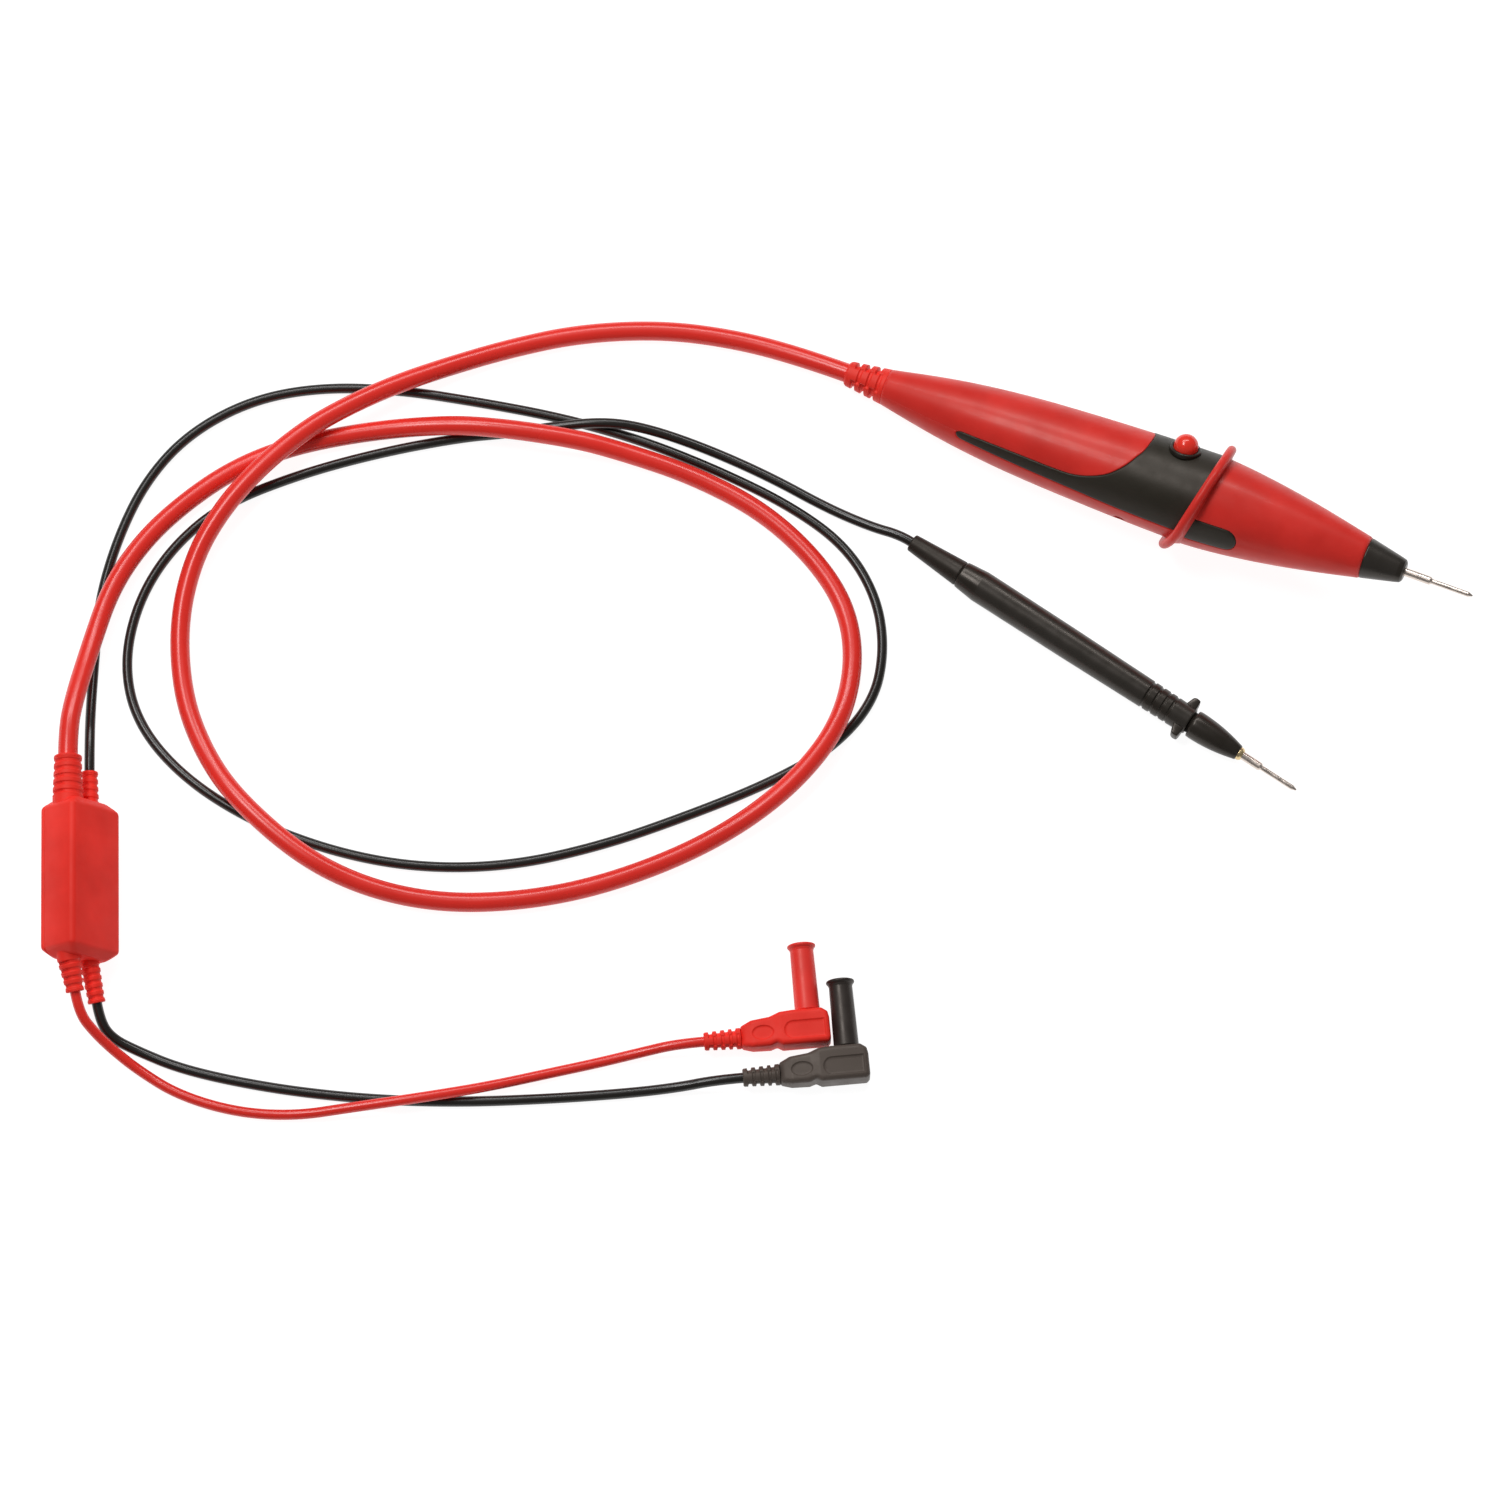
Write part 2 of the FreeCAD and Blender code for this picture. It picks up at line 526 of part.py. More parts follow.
def black_handle():
    """The slim handle with ring grooves and a pair of finger wings."""
    boot_end = BLACK_BOOT_LENGTH
    body = turned([(boot_end, 4.6), (boot_end + 7.5, 5.45), (62.0, 5.3), (105.0, 4.8),
                   (BLACK_HANDLE_END, 4.6)])
    for start in BLACK_GROOVES:
        end = V(start + BLACK_GROOVE_WIDTH, 0, 0)
        body = body.cut(tube(V(start, 0, 0), end, WING_SPAN, BLACK_GROOVE_RADIUS))
    half = WING_SPAN
    outline = [V(106.2, 0, 0), V(107.4, half - 0.6, 0), V(108.0, half, 0), V(109.6, half, 0),
               V(110.0, half - 0.6, 0), V(110.2, 0, 0), V(106.2, 0, 0)]
    wing = Part.Face(Part.makePolygon(outline)).extrude(V(0, 0, WING_THICKNESS))
    wing.translate(V(0, 0, -WING_THICKNESS / 2))
    body = body.fuse(wing).fuse(wing.mirror(V(0, 0, 0), Y_AXIS))
    body = body.cut(rod(V(boot_end - 1, 0, 0), V(BLACK_BORE_END, 0, 0), BLACK_BORE_RADIUS))
    return one_solid(body.cut(rod(V(BLACK_BORE_END - 1, 0, 0), V(BLACK_NOSE_END, 0, 0), SHANK_RADIUS)))


def black_nose():
    """The bullet nose of the black probe, behind its thin neck."""
    start = BLACK_HANDLE_END
    end = BLACK_NOSE_END
    rear_radius, middle_radius, front_radius = BLACK_NOSE_RADII
    foot = V(start + 1.0, 0, 0)
    toe = V(end, 0, 0)
    neck = rod(V(start, 0, 0), foot, BLACK_NECK_RADIUS)
    rear = V(foot.x, 0, rear_radius)
    front = V(end, 0, front_radius)
    curve = Part.Arc(rear, V(start + 10.0, 0, middle_radius), front).toShape()
    sides = [Part.makeLine(foot, rear), curve, Part.makeLine(front, toe), Part.makeLine(toe, foot)]
    bullet = Part.Face(Part.Wire(sides)).revolve(V(0, 0, 0), X_AXIS, 360)
    return one_solid(neck.fuse(bullet).cut(rod(V(start - 1, 0, 0), V(end + 1, 0, 0), SHANK_RADIUS)))


def black_probe():
    """Every piece of the slim probe, along its own axis."""
    boot_end = BLACK_BOOT_LENGTH
    boot = turned([(0.0, 2.7), (0.4, 3.0), (boot_end - 0.6, 4.4), (boot_end, 4.2), (boot_end, 2.8),
                   (BLACK_WIRE_START, 2.8)])
    ferrule = turned([(BLACK_NOSE_END, 2.3), (BLACK_NOSE_END + 0.9, 2.2), (BLACK_NOSE_END + 1.6, 1.7)])
    ferrule = ferrule.cut(rod(V(BIG, 0, 0), V(BLACK_SHANK_END, 0, 0), SHANK_RADIUS))
    needle_start = V(BLACK_NEEDLE_START, 0, 0)
    conductor = rod(V(BLACK_WIRE_START, 0, 0), needle_start, BLACK_WIRE_RADIUS)
    crimp_start, crimp_end, crimp_radius = BLACK_CRIMP
    crimp = tube(needle_start, V(crimp_end, 0, 0), crimp_radius, SHANK_RADIUS)
    crimp = crimp.fuse(rod(V(crimp_start, 0, 0), needle_start, crimp_radius))
    return {
        "black_probe_boot": boot,
        "black_probe_handle": black_handle(),
        "black_probe_nose": black_nose(),
        "black_probe_ferrule": one_solid(ferrule),
        "black_probe_conductor": one_solid(conductor.fuse(crimp)),
        "black_contact_needle": needle(BLACK_NEEDLE_START, BLACK_SHANK_END, BLACK_NEEDLE_END,
                                       BLACK_NEEDLE_RADIUS),
    }


def rectangle_wire(half_width, half_height, y):
    """A rectangle across the Y axis."""
    corners = [V(x, y, z) for x, z in ((-half_width, -half_height), (half_width, -half_height),
                                       (half_width, half_height), (-half_width, half_height))]
    return Part.makePolygon(corners + [corners[0]])


def box_form(inset):
    """The hipped outer form of the junction box, or a smaller one inside it."""
    half_width = BOX_WIDTH / 2 - inset
    half_height = BOX_THICKNESS / 2 - inset
    side = BOX_SIDE_LENGTH / 2 - inset
    full = BOX_FULL_LENGTH / 2 - inset
    middle = Part.makeLoft([rectangle_wire(half_width, half_height, -side),
                            rectangle_wire(half_width, half_height, side)], True, True)
    form = middle
    for end in (-1, 1):
        wires = [rectangle_wire(half_width, half_height, end * side),
                 rectangle_wire(half_width - BOX_HIP, half_height - BOX_HIP * 0.7, end * full)]
        form = form.fuse(Part.makeLoft(wires, True, True))
    return form.removeSplitter()


def rounded_box_form():
    """The box form with its long edges rounded."""
    form = box_form(0.0)
    long_edges = [edge for edge in form.Edges if abs(edge.Length - BOX_SIDE_LENGTH) < 0.01]
    return form.makeFillet(BOX_EDGE, long_edges)


def relief(length, radii, slots, bore, floor):
    """A strain relief along +Y with slots in its two sides, and its wide end at the origin."""
    wide, narrow = radii
    body = Part.makeCone(wide, narrow, length, V(0, 0, 0), Y_AXIS)
    body = body.fuse(rod(V(0, -RELIEF_ROOT, 0), V(0, 0, 0), wide))
    pitch = (length - 1.6) / slots
    for index in range(slots):
        low = 1.4 + index * pitch
        high = low + pitch * 0.45
        body = body.cut(block((floor, low, -BIG), (BIG, high, BIG)))
        body = body.cut(block((-BIG, low, -BIG), (-floor, high, BIG)))
    return one_solid(body.cut(rod(V(0, -RELIEF_ROOT, 0), V(0, length, 0), bore)))


def junction():
    """The inline junction box: deep tray, lid, four reliefs and the splices inside."""
    form = rounded_box_form()
    split = -BOX_THICKNESS / 2 + LID_THICKNESS
    below = block((-BIG, -BIG, -BIG), (BIG, BIG, split))
    tray = form.cut(below).cut(box_form(BOX_WALL))
    lid = form.common(below)
    top = BOX_FULL_LENGTH / 2
    reliefs = {
        "relief_thick_cable": (RED_OFFSETS[0], 1, 14.6, (5.0, 4.5), 4, CABLE_RADIUS, 3.9),
        "relief_black_lead": (BLACK_OFFSET, 1, 11.4, (3.0, 2.6), 3, LEAD_RADIUS, 1.8),
        "relief_red_plug_lead": (RED_OFFSETS[1], -1, 11.4, (3.9, 2.9), 3, LEAD_RADIUS, 2.4),
        "relief_black_plug_lead": (BLACK_OFFSET, -1, 13.4, (3.2, 2.7), 4, LEAD_RADIUS, 1.8),
    }
    pieces = {"junction_tray": one_solid(tray), "junction_lid": one_solid(lid)}
    stubs = []
    inside_box = block((-BIG, -top, -BIG), (BIG, top, BIG))
    for name, (x, end, length, radii, slots, bore, floor) in reliefs.items():
        turn = 0.0 if end == 1 else 180.0 + DROOP
        piece = relief(length, radii, slots, bore, floor)
        core = rod(V(0, -JACKET_DEPTH, 0), V(0, length, 0), bore)
        for shape in (piece, core):
            shape.rotate(V(0, 0, 0), Z_AXIS, turn)
            shape.translate(V(x, end * top, 0))
        pieces[name] = one_solid(piece.cut(box_form(0.0)))
        stubs.append((name, one_solid(core.cut(inside_box))))
    red_cores = [core for name, core in stubs if "black" not in name]
    black_cores = [core for name, core in stubs if "black" in name]
    pieces["red_jacket_ends"] = Part.makeCompound(red_cores)
    pieces["black_jacket_ends"] = Part.makeCompound(black_cores)
    pieces["splice_board"] = block(SPLICE_BOARD_LOW, SPLICE_BOARD_HIGH)
    sleeve_end = V(0, SLEEVE_HALF_LENGTH, SLEEVE_HEIGHT)
    sleeve = rod(V(0, -SLEEVE_HALF_LENGTH, SLEEVE_HEIGHT), sleeve_end, SLEEVE_RADIUS)
    sleeves = [sleeve.translated(V(x, 0, 0)) for x in (-SLEEVE_OFFSET, 0.0, SLEEVE_OFFSET)]
    pieces["splice_sleeves"] = Part.makeCompound(sleeves)
    return pieces


def plug_body():
    """The moulded elbow of a plug, seen from above and from the side."""
    half = PLUG_HALF_HEIGHT
    plan = [V(x, y, 0) for x, y in PLUG_PLAN]
    outline = Part.Face(Part.makePolygon(plan + [plan[0]])).extrude(V(0, 0, 2 * half))
    outline.translate(V(0, 0, -half))
    side = [V(12.0, 0, 3.2), V(16.0, 0, 4.4), V(22.4, 0, 4.8), V(25.0, 0, half), V(41.5, 0, half)]
    mirrored = [V(point.x, 0, -point.z) for point in reversed(side)]
    profile = Part.Face(Part.makePolygon(side + mirrored + [side[0]])).extrude(V(0, 30, 0))
    profile.translate(V(0, -15, 0))
    body = one_solid(outline.common(profile))
    return body.cut(rod(V(PIN_STATION, PIN_BOSS_FOOT, 0), V(PIN_STATION, 2 * PIN_FACE, 0), PIN_BOSS_RADIUS))


def plug_boot():
    """The grooved strain relief of a plug."""
    body = turned([(0.0, 2.6), (0.4, 2.9), (PLUG_BOOT_LENGTH, 3.5)])
    for start in PLUG_BOOT_GROOVES:
        radius = 2.9 + 0.05 * start
        body = body.cut(tube(V(start, 0, 0), V(start + 1.2, 0, 0), radius + 1.0, radius - 0.7))
    return one_solid(body)


def plug(colour):
    """Every piece of one right-angle banana plug."""
    face = V(PIN_STATION, PIN_FACE, 0)
    along = Y_AXIS
    boss_top = face + along * PIN_BOSS_LENGTH
    boss = tube(V(PIN_STATION, PIN_BOSS_FOOT, 0), boss_top, PIN_BOSS_RADIUS, PIN_BORE_RADIUS)
    spring_low = boss_top + along * PIN_COLLAR_LENGTH
    spring_high = face + along * (PIN_LENGTH - PIN_HEAD_LENGTH)
    core = rod(V(PIN_STATION, 2 * PIN_BOSS_FOOT, 0), spring_high + along * 0.3, PIN_CORE_RADIUS)
    head = Part.makeCone(PIN_HEAD_RADII[0], PIN_HEAD_RADII[1], PIN_HEAD_LENGTH, spring_high, along)
    collar = rod(boss_top, spring_low, PIN_RADIUS)
    spring = tube(spring_low, spring_high, PIN_RADIUS, PIN_BORE_RADIUS)
    middle = (spring_low.y + spring_high.y) / 2
    slot_spans = ((spring_low.y + SPRING_END_BAND, middle - SPRING_MIDDLE_BAND),
                  (middle + SPRING_MIDDLE_BAND, spring_high.y - SPRING_END_BAND))
    for low, high in slot_spans:
        for turn in (0, 45, 90, 135):
            slot = block((-PIN_RADIUS - 1, low, -SPRING_SLOT), (PIN_RADIUS + 1, high, SPRING_SLOT))
            slot.rotate(V(0, 0, 0), Y_AXIS, turn)
            slot.translate(V(PIN_STATION, 0, 0))
            spring = spring.cut(slot)
    cap_start = face + along * CAP_GAP
    cap_end = face + along * CAP_LENGTH
    cap = Part.makeCone(CAP_RADII[0], CAP_RADII[1], CAP_LENGTH - CAP_GAP, cap_start, along)
    rim_outline = [(CAP_LENGTH - 1.9, CAP_RADII[1]), (CAP_LENGTH - 1.1, 4.5), (CAP_LENGTH - 0.7, 4.65),
                   (CAP_LENGTH - 0.2, 4.55), (CAP_LENGTH, 4.1)]
    rim = turned(rim_outline)
    rim.rotate(V(0, 0, 0), Z_AXIS, 90)
    rim.translate(face)
    cap = cap.fuse(rim).cut(rod(cap_start, cap_end - along * CAP_FLOOR, PIN_BOSS_RADIUS + 0.05))
    return {
        colour + "_plug_boot": plug_boot(),
        colour + "_plug_body": one_solid(plug_body()),
        colour + "_pin_boss": boss,
        colour + "_banana_pin": one_solid(core.fuse(head).fuse(collar)),
        colour + "_pin_spring": one_solid(spring),
        colour + "_pin_cap": one_solid(cap),
    }


def route_tube(points, radius):
    """A round tube along straight runs joined by arcs as large as the runs allow."""
    edges = []
    start = points[0]
    for before, corner, after in zip(points, points[1:], points[2:]):
        inward = (corner - before).normalize()
        outward = (after - corner).normalize()
        reach = ARC_SHARE * min((corner - before).Length, (after - corner).Length)
        arc_start = corner - inward * reach
        arc_end = corner + outward * reach
        half_turn = inward.getAngle(outward) / 2
        bend = reach / math.tan(half_turn)
        inner = (outward - inward).normalize()
        middle = corner + inner * (bend / math.cos(half_turn) - bend)
        edges.append(Part.LineSegment(start, arc_start).toShape())
        edges.append(Part.Arc(arc_start, middle, arc_end).toShape())
        start = arc_end
    edges.append(Part.LineSegment(start, points[-1]).toShape())
    path = Part.Wire(edges)
    heading = (points[1] - points[0]).normalize()
    section = Part.Wire(Part.makeCircle(radius, points[0], heading))
    return path.makePipeShell([section], True, True)


def bend_radii(points):
    """The radius of each arc along a route."""
    radii = []
    for before, corner, after in zip(points, points[1:], points[2:]):
        half_turn = (corner - before).getAngle(after - corner) / 2
        reach = ARC_SHARE * min((corner - before).Length, (after - corner).Length)
        radii.append(reach / math.tan(half_turn))
    return radii


def junction_placement():
    """The box lies rolled onto one long edge."""
    heading = FreeCAD.Rotation(Z_AXIS, JUNCTION_HEADING)
    roll = FreeCAD.Rotation(Y_AXIS, JUNCTION_ROLL)
    return FreeCAD.Placement(JUNCTION_AT, heading.multiply(roll))


def cords():
    """The four free cords, each a plain round tube along its route."""
    routes = {
        "red_cable": (RED_CABLE_ROUTE, CABLE_RADIUS),
        "black_lead": (BLACK_LEAD_ROUTE, LEAD_RADIUS),
        "red_plug_lead": (RED_PLUG_LEAD_ROUTE, LEAD_RADIUS),
        "black_plug_lead": (BLACK_PLUG_LEAD_ROUTE, LEAD_RADIUS),
    }
    tubes = {}
    for name, (route, radius) in routes.items():
        points = [V(*point) for point in route]
        tubes[name] = route_tube(points, radius)
        length = tubes[name].Volume / (math.pi * radius ** 2)
        print(name, "length", round(length, 1), "bend radii", [round(bend) for bend in bend_radii(points)])
    return tubes


def main():
    """Build, place and write every piece."""
    os.makedirs("parts", exist_ok=True)
    plug_turn = (PLUG_HEADING, 0.0, 0.0)
    assemblies = [
        (red_probe(), probe_placement(RED_PROBE_AT, RED_PROBE_TURN)),
        (black_probe(), probe_placement(BLACK_PROBE_AT, BLACK_PROBE_TURN)),
        (junction(), junction_placement()),
        (plug("red"), probe_placement(RED_PLUG_AT, plug_turn)),
        (plug("black"), probe_placement(BLACK_PLUG_AT, plug_turn)),
        (cords(), FreeCAD.Placement()),
    ]
    for pieces, placement in assemblies:
        for name, shape in pieces.items():
            placed(shape, placement).exportStep("parts/" + name + ".step")


main()
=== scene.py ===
import json
from math import acos, asin, ceil, cos, degrees, dist, hypot, pi, radians, sin, sqrt, tan, tau

import bmesh
import bpy
import numpy as np
from mathutils import Matrix, Vector
from mathutils.geometry import delaunay_2d_cdt
from mathutils.kdtree import KDTree


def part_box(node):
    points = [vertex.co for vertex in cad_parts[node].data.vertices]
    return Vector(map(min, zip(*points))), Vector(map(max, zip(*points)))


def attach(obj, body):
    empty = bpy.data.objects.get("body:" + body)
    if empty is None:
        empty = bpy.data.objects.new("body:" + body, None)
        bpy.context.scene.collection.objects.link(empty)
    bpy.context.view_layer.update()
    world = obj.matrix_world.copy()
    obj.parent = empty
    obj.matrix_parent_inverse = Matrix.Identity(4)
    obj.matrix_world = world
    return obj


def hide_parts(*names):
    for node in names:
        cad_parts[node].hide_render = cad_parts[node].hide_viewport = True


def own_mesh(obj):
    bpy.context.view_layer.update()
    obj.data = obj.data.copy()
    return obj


# Test leads: a red loading probe with a push button, a slim black probe, an inline junction box and two
# right-angle plugs, lying on a pale floor. Shapes are drawn in millimetres and placed by the frame.

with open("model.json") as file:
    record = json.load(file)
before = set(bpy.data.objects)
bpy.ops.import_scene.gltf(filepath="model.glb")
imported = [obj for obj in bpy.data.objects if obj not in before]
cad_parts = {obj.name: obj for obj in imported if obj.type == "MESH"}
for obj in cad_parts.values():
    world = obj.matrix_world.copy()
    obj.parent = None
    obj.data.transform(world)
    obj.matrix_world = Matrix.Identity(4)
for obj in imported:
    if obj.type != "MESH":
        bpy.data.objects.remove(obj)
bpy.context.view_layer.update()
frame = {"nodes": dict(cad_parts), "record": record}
MM = 0.001
QUARTER = pi / 2
X = Vector((1, 0, 0))
Z = Vector((0, 0, 1))

# Camera, in metres
CAMERA_TARGET = Vector((-0.0020, -0.0093, 0.0))
CAMERA_DISTANCE = 1.8
CAMERA_ELEVATION = 73.0
CAMERA_LENS = 130.9

# Cords, in metres. Each route lists the control points of its spline.
CABLE_DIAMETER = 0.0065
LEAD_DIAMETER = 0.0034
RED_PLUG_LEAD_LENGTH = 0.223
BLACK_PLUG_LEAD_LENGTH = 0.221
RED_CABLE_ROUTE = [
    (0.0309, 0.121, 0.00654), (0.0154, 0.12764, 0.00467), (-0.007, 0.1345, 0.0034),
    (-0.032, 0.138, 0.0033), (-0.06, 0.1365, 0.0033), (-0.084, 0.1309, 0.0033),
    (-0.1044, 0.1239, 0.0046), (-0.1199, 0.1168, 0.0082), (-0.1347, 0.1094, 0.0092),
    (-0.1488, 0.1008, 0.0102), (-0.1648, 0.0871, 0.0102), (-0.1778, 0.0722, 0.0084),
    (-0.1872, 0.0554, 0.0056), (-0.1917, 0.0334, 0.0033), (-0.1894, 0.008, 0.0033),
    (-0.1813, -0.0124, 0.0044), (-0.1697, -0.0291, 0.0078), (-0.1481, -0.0482, 0.0076),
    (-0.1268, -0.0578, 0.004), (-0.1032, -0.0626, 0.0033), (-0.078, -0.062, 0.0033),
    (-0.0534, -0.0574, 0.0033), (-0.0275, -0.048, 0.0033), (-0.0052, -0.0362, 0.0042),
    (0.0134, -0.022, 0.0078), (0.0272, -0.0036, 0.0078), (0.0326, 0.0179, 0.0044),
    (0.0305, 0.038, 0.0033), (0.0202, 0.0557, 0.0033), (0.0022, 0.0732, 0.0033),
    (-0.021, 0.0858, 0.0033), (-0.043, 0.0933, 0.0044), (-0.0618, 0.0974, 0.0082),
    (-0.0929, 0.1019, 0.0082), (-0.1131, 0.1029, 0.0044), (-0.1352, 0.1006, 0.0033),
    (-0.1565, 0.0959, 0.0033), (-0.1748, 0.088, 0.0033), (-0.1904, 0.0766, 0.0033),
    (-0.2037, 0.0628, 0.0046), (-0.214, 0.045, 0.0068), (-0.2198, 0.023, 0.0096),
    (-0.2236, 0.004, 0.0154), (-0.225, -0.0075, 0.01776), (-0.2247, -0.0169, 0.01776),
]
BLACK_LEAD_ROUTE = [
    (-0.21848, -0.01993, 0.00966), (-0.21883, -0.00994, 0.00966), (-0.2194, 0.004, 0.0052),
    (-0.2192, 0.022, 0.00175), (-0.2184, 0.042, 0.00175), (-0.213, 0.064, 0.00175),
    (-0.2043, 0.0843, 0.00175), (-0.1907, 0.1009, 0.00175), (-0.1704, 0.1129, 0.00175),
    (-0.1475, 0.1177, 0.00175), (-0.121, 0.117, 0.00175), (-0.0935, 0.1125, 0.00175),
    (-0.066, 0.107, 0.00175), (-0.04, 0.0994, 0.00175), (-0.0142, 0.0887, 0.00175),
    (0.0112, 0.0757, 0.00175), (0.0298, 0.0615, 0.00175), (0.04, 0.0437, 0.00175),
    (0.0426, 0.025, 0.00175), (0.0389, 0.0068, 0.00175), (0.0253, -0.0091, 0.00175),
    (0.005, -0.021, 0.00175), (-0.022, -0.0323, 0.00175), (-0.05, -0.0425, 0.00175),
    (-0.08, -0.0496, 0.00175), (-0.11, -0.0503, 0.00175), (-0.138, -0.045, 0.00175),
    (-0.165, -0.0346, 0.00175), (-0.1882, -0.0197, 0.00175), (-0.204, -0.0013, 0.00175),
    (-0.2094, 0.019, 0.00175), (-0.2058, 0.041, 0.00175), (-0.1954, 0.0601, 0.00175),
    (-0.1784, 0.0759, 0.00175), (-0.1531, 0.0866, 0.00175), (-0.1261, 0.0944, 0.00175),
    (-0.0991, 0.0998, 0.00175), (-0.083, 0.1012, 0.0019), (-0.0675, 0.1028, 0.0042),
    (-0.051, 0.1037, 0.0066), (-0.0365, 0.1025, 0.0036), (-0.0163, 0.0957, 0.00175),
    (0.0048, 0.0857, 0.00175), (0.0239, 0.0746, 0.00185), (0.0385, 0.0673, 0.0038),
    (0.0482, 0.06384, 0.00546), (0.0519, 0.0613, 0.00546),
]
RED_PLUG_LEAD_ROUTE = [
    (-0.21984, -0.09544, 0.01497), (-0.21852, -0.10216, 0.01352), (-0.2137, -0.1077, 0.0093),
    (-0.2078, -0.1126, 0.0046), (-0.1998, -0.1185, 0.0019), (-0.1868, -0.1266, 0.00175),
    (-0.168, -0.1323, 0.00175), (-0.149, -0.1335, 0.0019), (-0.131, -0.1314, 0.0046),
    (-0.105, -0.128, 0.0066), (-0.086, -0.124, 0.0036), (-0.066, -0.1191, 0.00175),
    (-0.051, -0.1158, 0.00175), (-0.038, -0.1127, 0.0024), (-0.026, -0.1105, 0.00541),
    (-0.0169, -0.1097, 0.00541),
]
BLACK_PLUG_LEAD_ROUTE = [
    (-0.21369, -0.09715, 0.00689), (-0.21245, -0.1034, 0.0056), (-0.2085, -0.1082, 0.0031),
    (-0.2006, -0.1119, 0.00175), (-0.1876, -0.1174, 0.00175), (-0.17, -0.1218, 0.00175),
    (-0.148, -0.1256, 0.00175), (-0.122, -0.1282, 0.00175), (-0.095, -0.1289, 0.00175),
    (-0.067, -0.1278, 0.00175), (-0.042, -0.126, 0.00175), (-0.0255, -0.1242, 0.0024),
    (-0.0134, -0.1225, 0.00541), (-0.0043, -0.1217, 0.00541),
]

# Red probe: stations along its axis from the cable end, and radii
NEEDLE_MOUNT_STATION = 214.0
BOOT_LENGTH = 14.4
HANDLE_STATIONS = [(14.4, 6.2), (39.3, 10.7), (52.0, 12.3), (65.0, 13.5), (80.0, 14.4), (104.0, 15.4),
                   (134.0, 16.0)]
NOSE_STATIONS = [(112.0, 16.2), (129.3, 15.9), (145.0, 14.4), (161.9, 11.8), (185.4, 7.0)]
GUARD_STATION = 127.0
GUARD_TILT = 15.5
GUARD_RADIUS = 20.6
GUARD_THICKNESS = 3.1
GUARD_SWEEP = 2.4
GUARD_BORE = 13.6
GUARD_FOOT = [(0.0, 17.4), (0.25, 16.7), (0.9, 16.05)]
SWEEP_FROM = 100.0
SWEEP_OVER = 60.0
GRIP_LOBE = [(107.4, 24.0), (106.8, 15.9), (104.4, 12.4), (101.0, 8.6), (96.0, 4.8), (88.0, 1.7),
             (80.0, 0.9), (66.0, 0.9), (46.0, 0.5)]
GRIP_REAR = (43.6, -1.0)
GRIP_FOOT = [(46.0, -2.5), (66.0, -3.5), (90.0, -4.7), (104.0, -5.5), (140.0, -6.2)]
GRIP_BEYOND = 150.0
SOFT_PROUD = 0.12
SOFT_EDGE = 0.55
SHELL_EDGE = 0.45
SEAM_EDGE = 0.14
CONE_EDGE = 0.4
CONE_END_EDGE = 0.25
WALL_DEPTH = 1.0
PAD_REAR = 118.0
PAD_FRONT = 140.6
PAD_TIP = 144.8
PAD_SIDES = (1.9, 1.2, -7.4, -7.4)
BUTTON_STATION = 118.1
BUTTON_RADIUS = 4.1
BUTTON_BASE = 13.4
BUTTON_SHOULDER = 17.4
BUTTON_TOP = 21.4
SPRING_LOW = 6.95
SPRING_HIGH = 13.05
SPRING_RADIUS = 2.5
SPRING_WIRE_RADIUS = 0.3
SPRING_TURNS = 4.5
BEZEL_RADIUS = 4.95
BEZEL_TOP = 16.9
SCREW_SPOTS = [(34.0, 0.0), (104.0, 9.4)]
SCREW_HOLE_RADIUS = 2.2
SHANK_RADIUS = 1.4
COLLAR = [(185.4, 2.0), (185.4, 6.9), (190.4, 5.8), (197.0, 4.3), (198.4, 3.9), (199.0, 3.0), (199.0, 1.4)]

# Black probe
BLACK_MOUNT_STATION = 144.5
BLACK_BOOT_LENGTH = 19.8
BLACK_HANDLE_END = 110.6
BLACK_NOSE_END = 129.5
GRIP_GROOVES = (93.6, 96.8, 99.9, 102.7)
GROOVE_FLOOR = 4.5
BELLY_STATION = 62.0
BELLY_RADIUS = 5.3
WING_HALF_WIDTH = 2.5
WING = [(106.0, 3.5), (106.5, 4.7), (107.2, 6.9), (108.0, 7.45), (109.5, 7.45), (110.0, 6.9), (110.1, 4.6),
        (110.1, 3.5)]

# Junction box, rolled onto one long edge
BOX_WIDTH = 23.0
BOX_THICKNESS = 15.0
BOX_SIDE = 47.6
BOX_LENGTH = 53.0
BOX_HIP = 3.4
BOX_CORNER = 2.0
LID_THICKNESS = 2.4
BOX_HEADING = 2.0
BOX_ROLL = 53.0
RED_OFFSETS = (-5.75, -5.2)
BLACK_OFFSET = 4.4
RELIEF_ROOT = 3.0
RING_DEPTH = 0.32
JOINT_STEP = 0.16
JOINT_BAND = 0.35
DROOP = 15.0

# Plugs
PLUG_BOOT_LENGTH = 12.0
PIN_STATION = 34.3
PIN_FACE = 7.0
PIN_MOUNT_REACH = 18.0
CAP_LENGTH = 22.4
CAP_BORE = 2.85
CAP_RIM = [(2.2, 3.82), (1.5, 4.05), (1.0, 4.5), (0.65, 4.65), (0.2, 4.55), (0.0, 4.1), (0.0, 3.2),
           (0.6, 2.5), (0.6, 0.0)]
CAP_FLOOR = 1.6
PANEL_SUNK = 0.38

# Mesh fineness
ARC_REACH = 0.42
ARC_SUPPORT = 1.12
ON_AXIS = 1e-6
SKIN_SPACING = 1.1
BORDER_SPACING = 0.6
EDGE_ROWS = (0.04, 0.12, 0.24, 0.40, 0.60)
PLUG_SPACING = 0.5
PLUG_ROWS = (0.05, 0.16, 0.32, 0.55)
BOOT_SPACING = 0.16
ROW_CLEARANCE = 0.93
GRID_CLEARANCE = 0.45


# ---------------- mesh tools

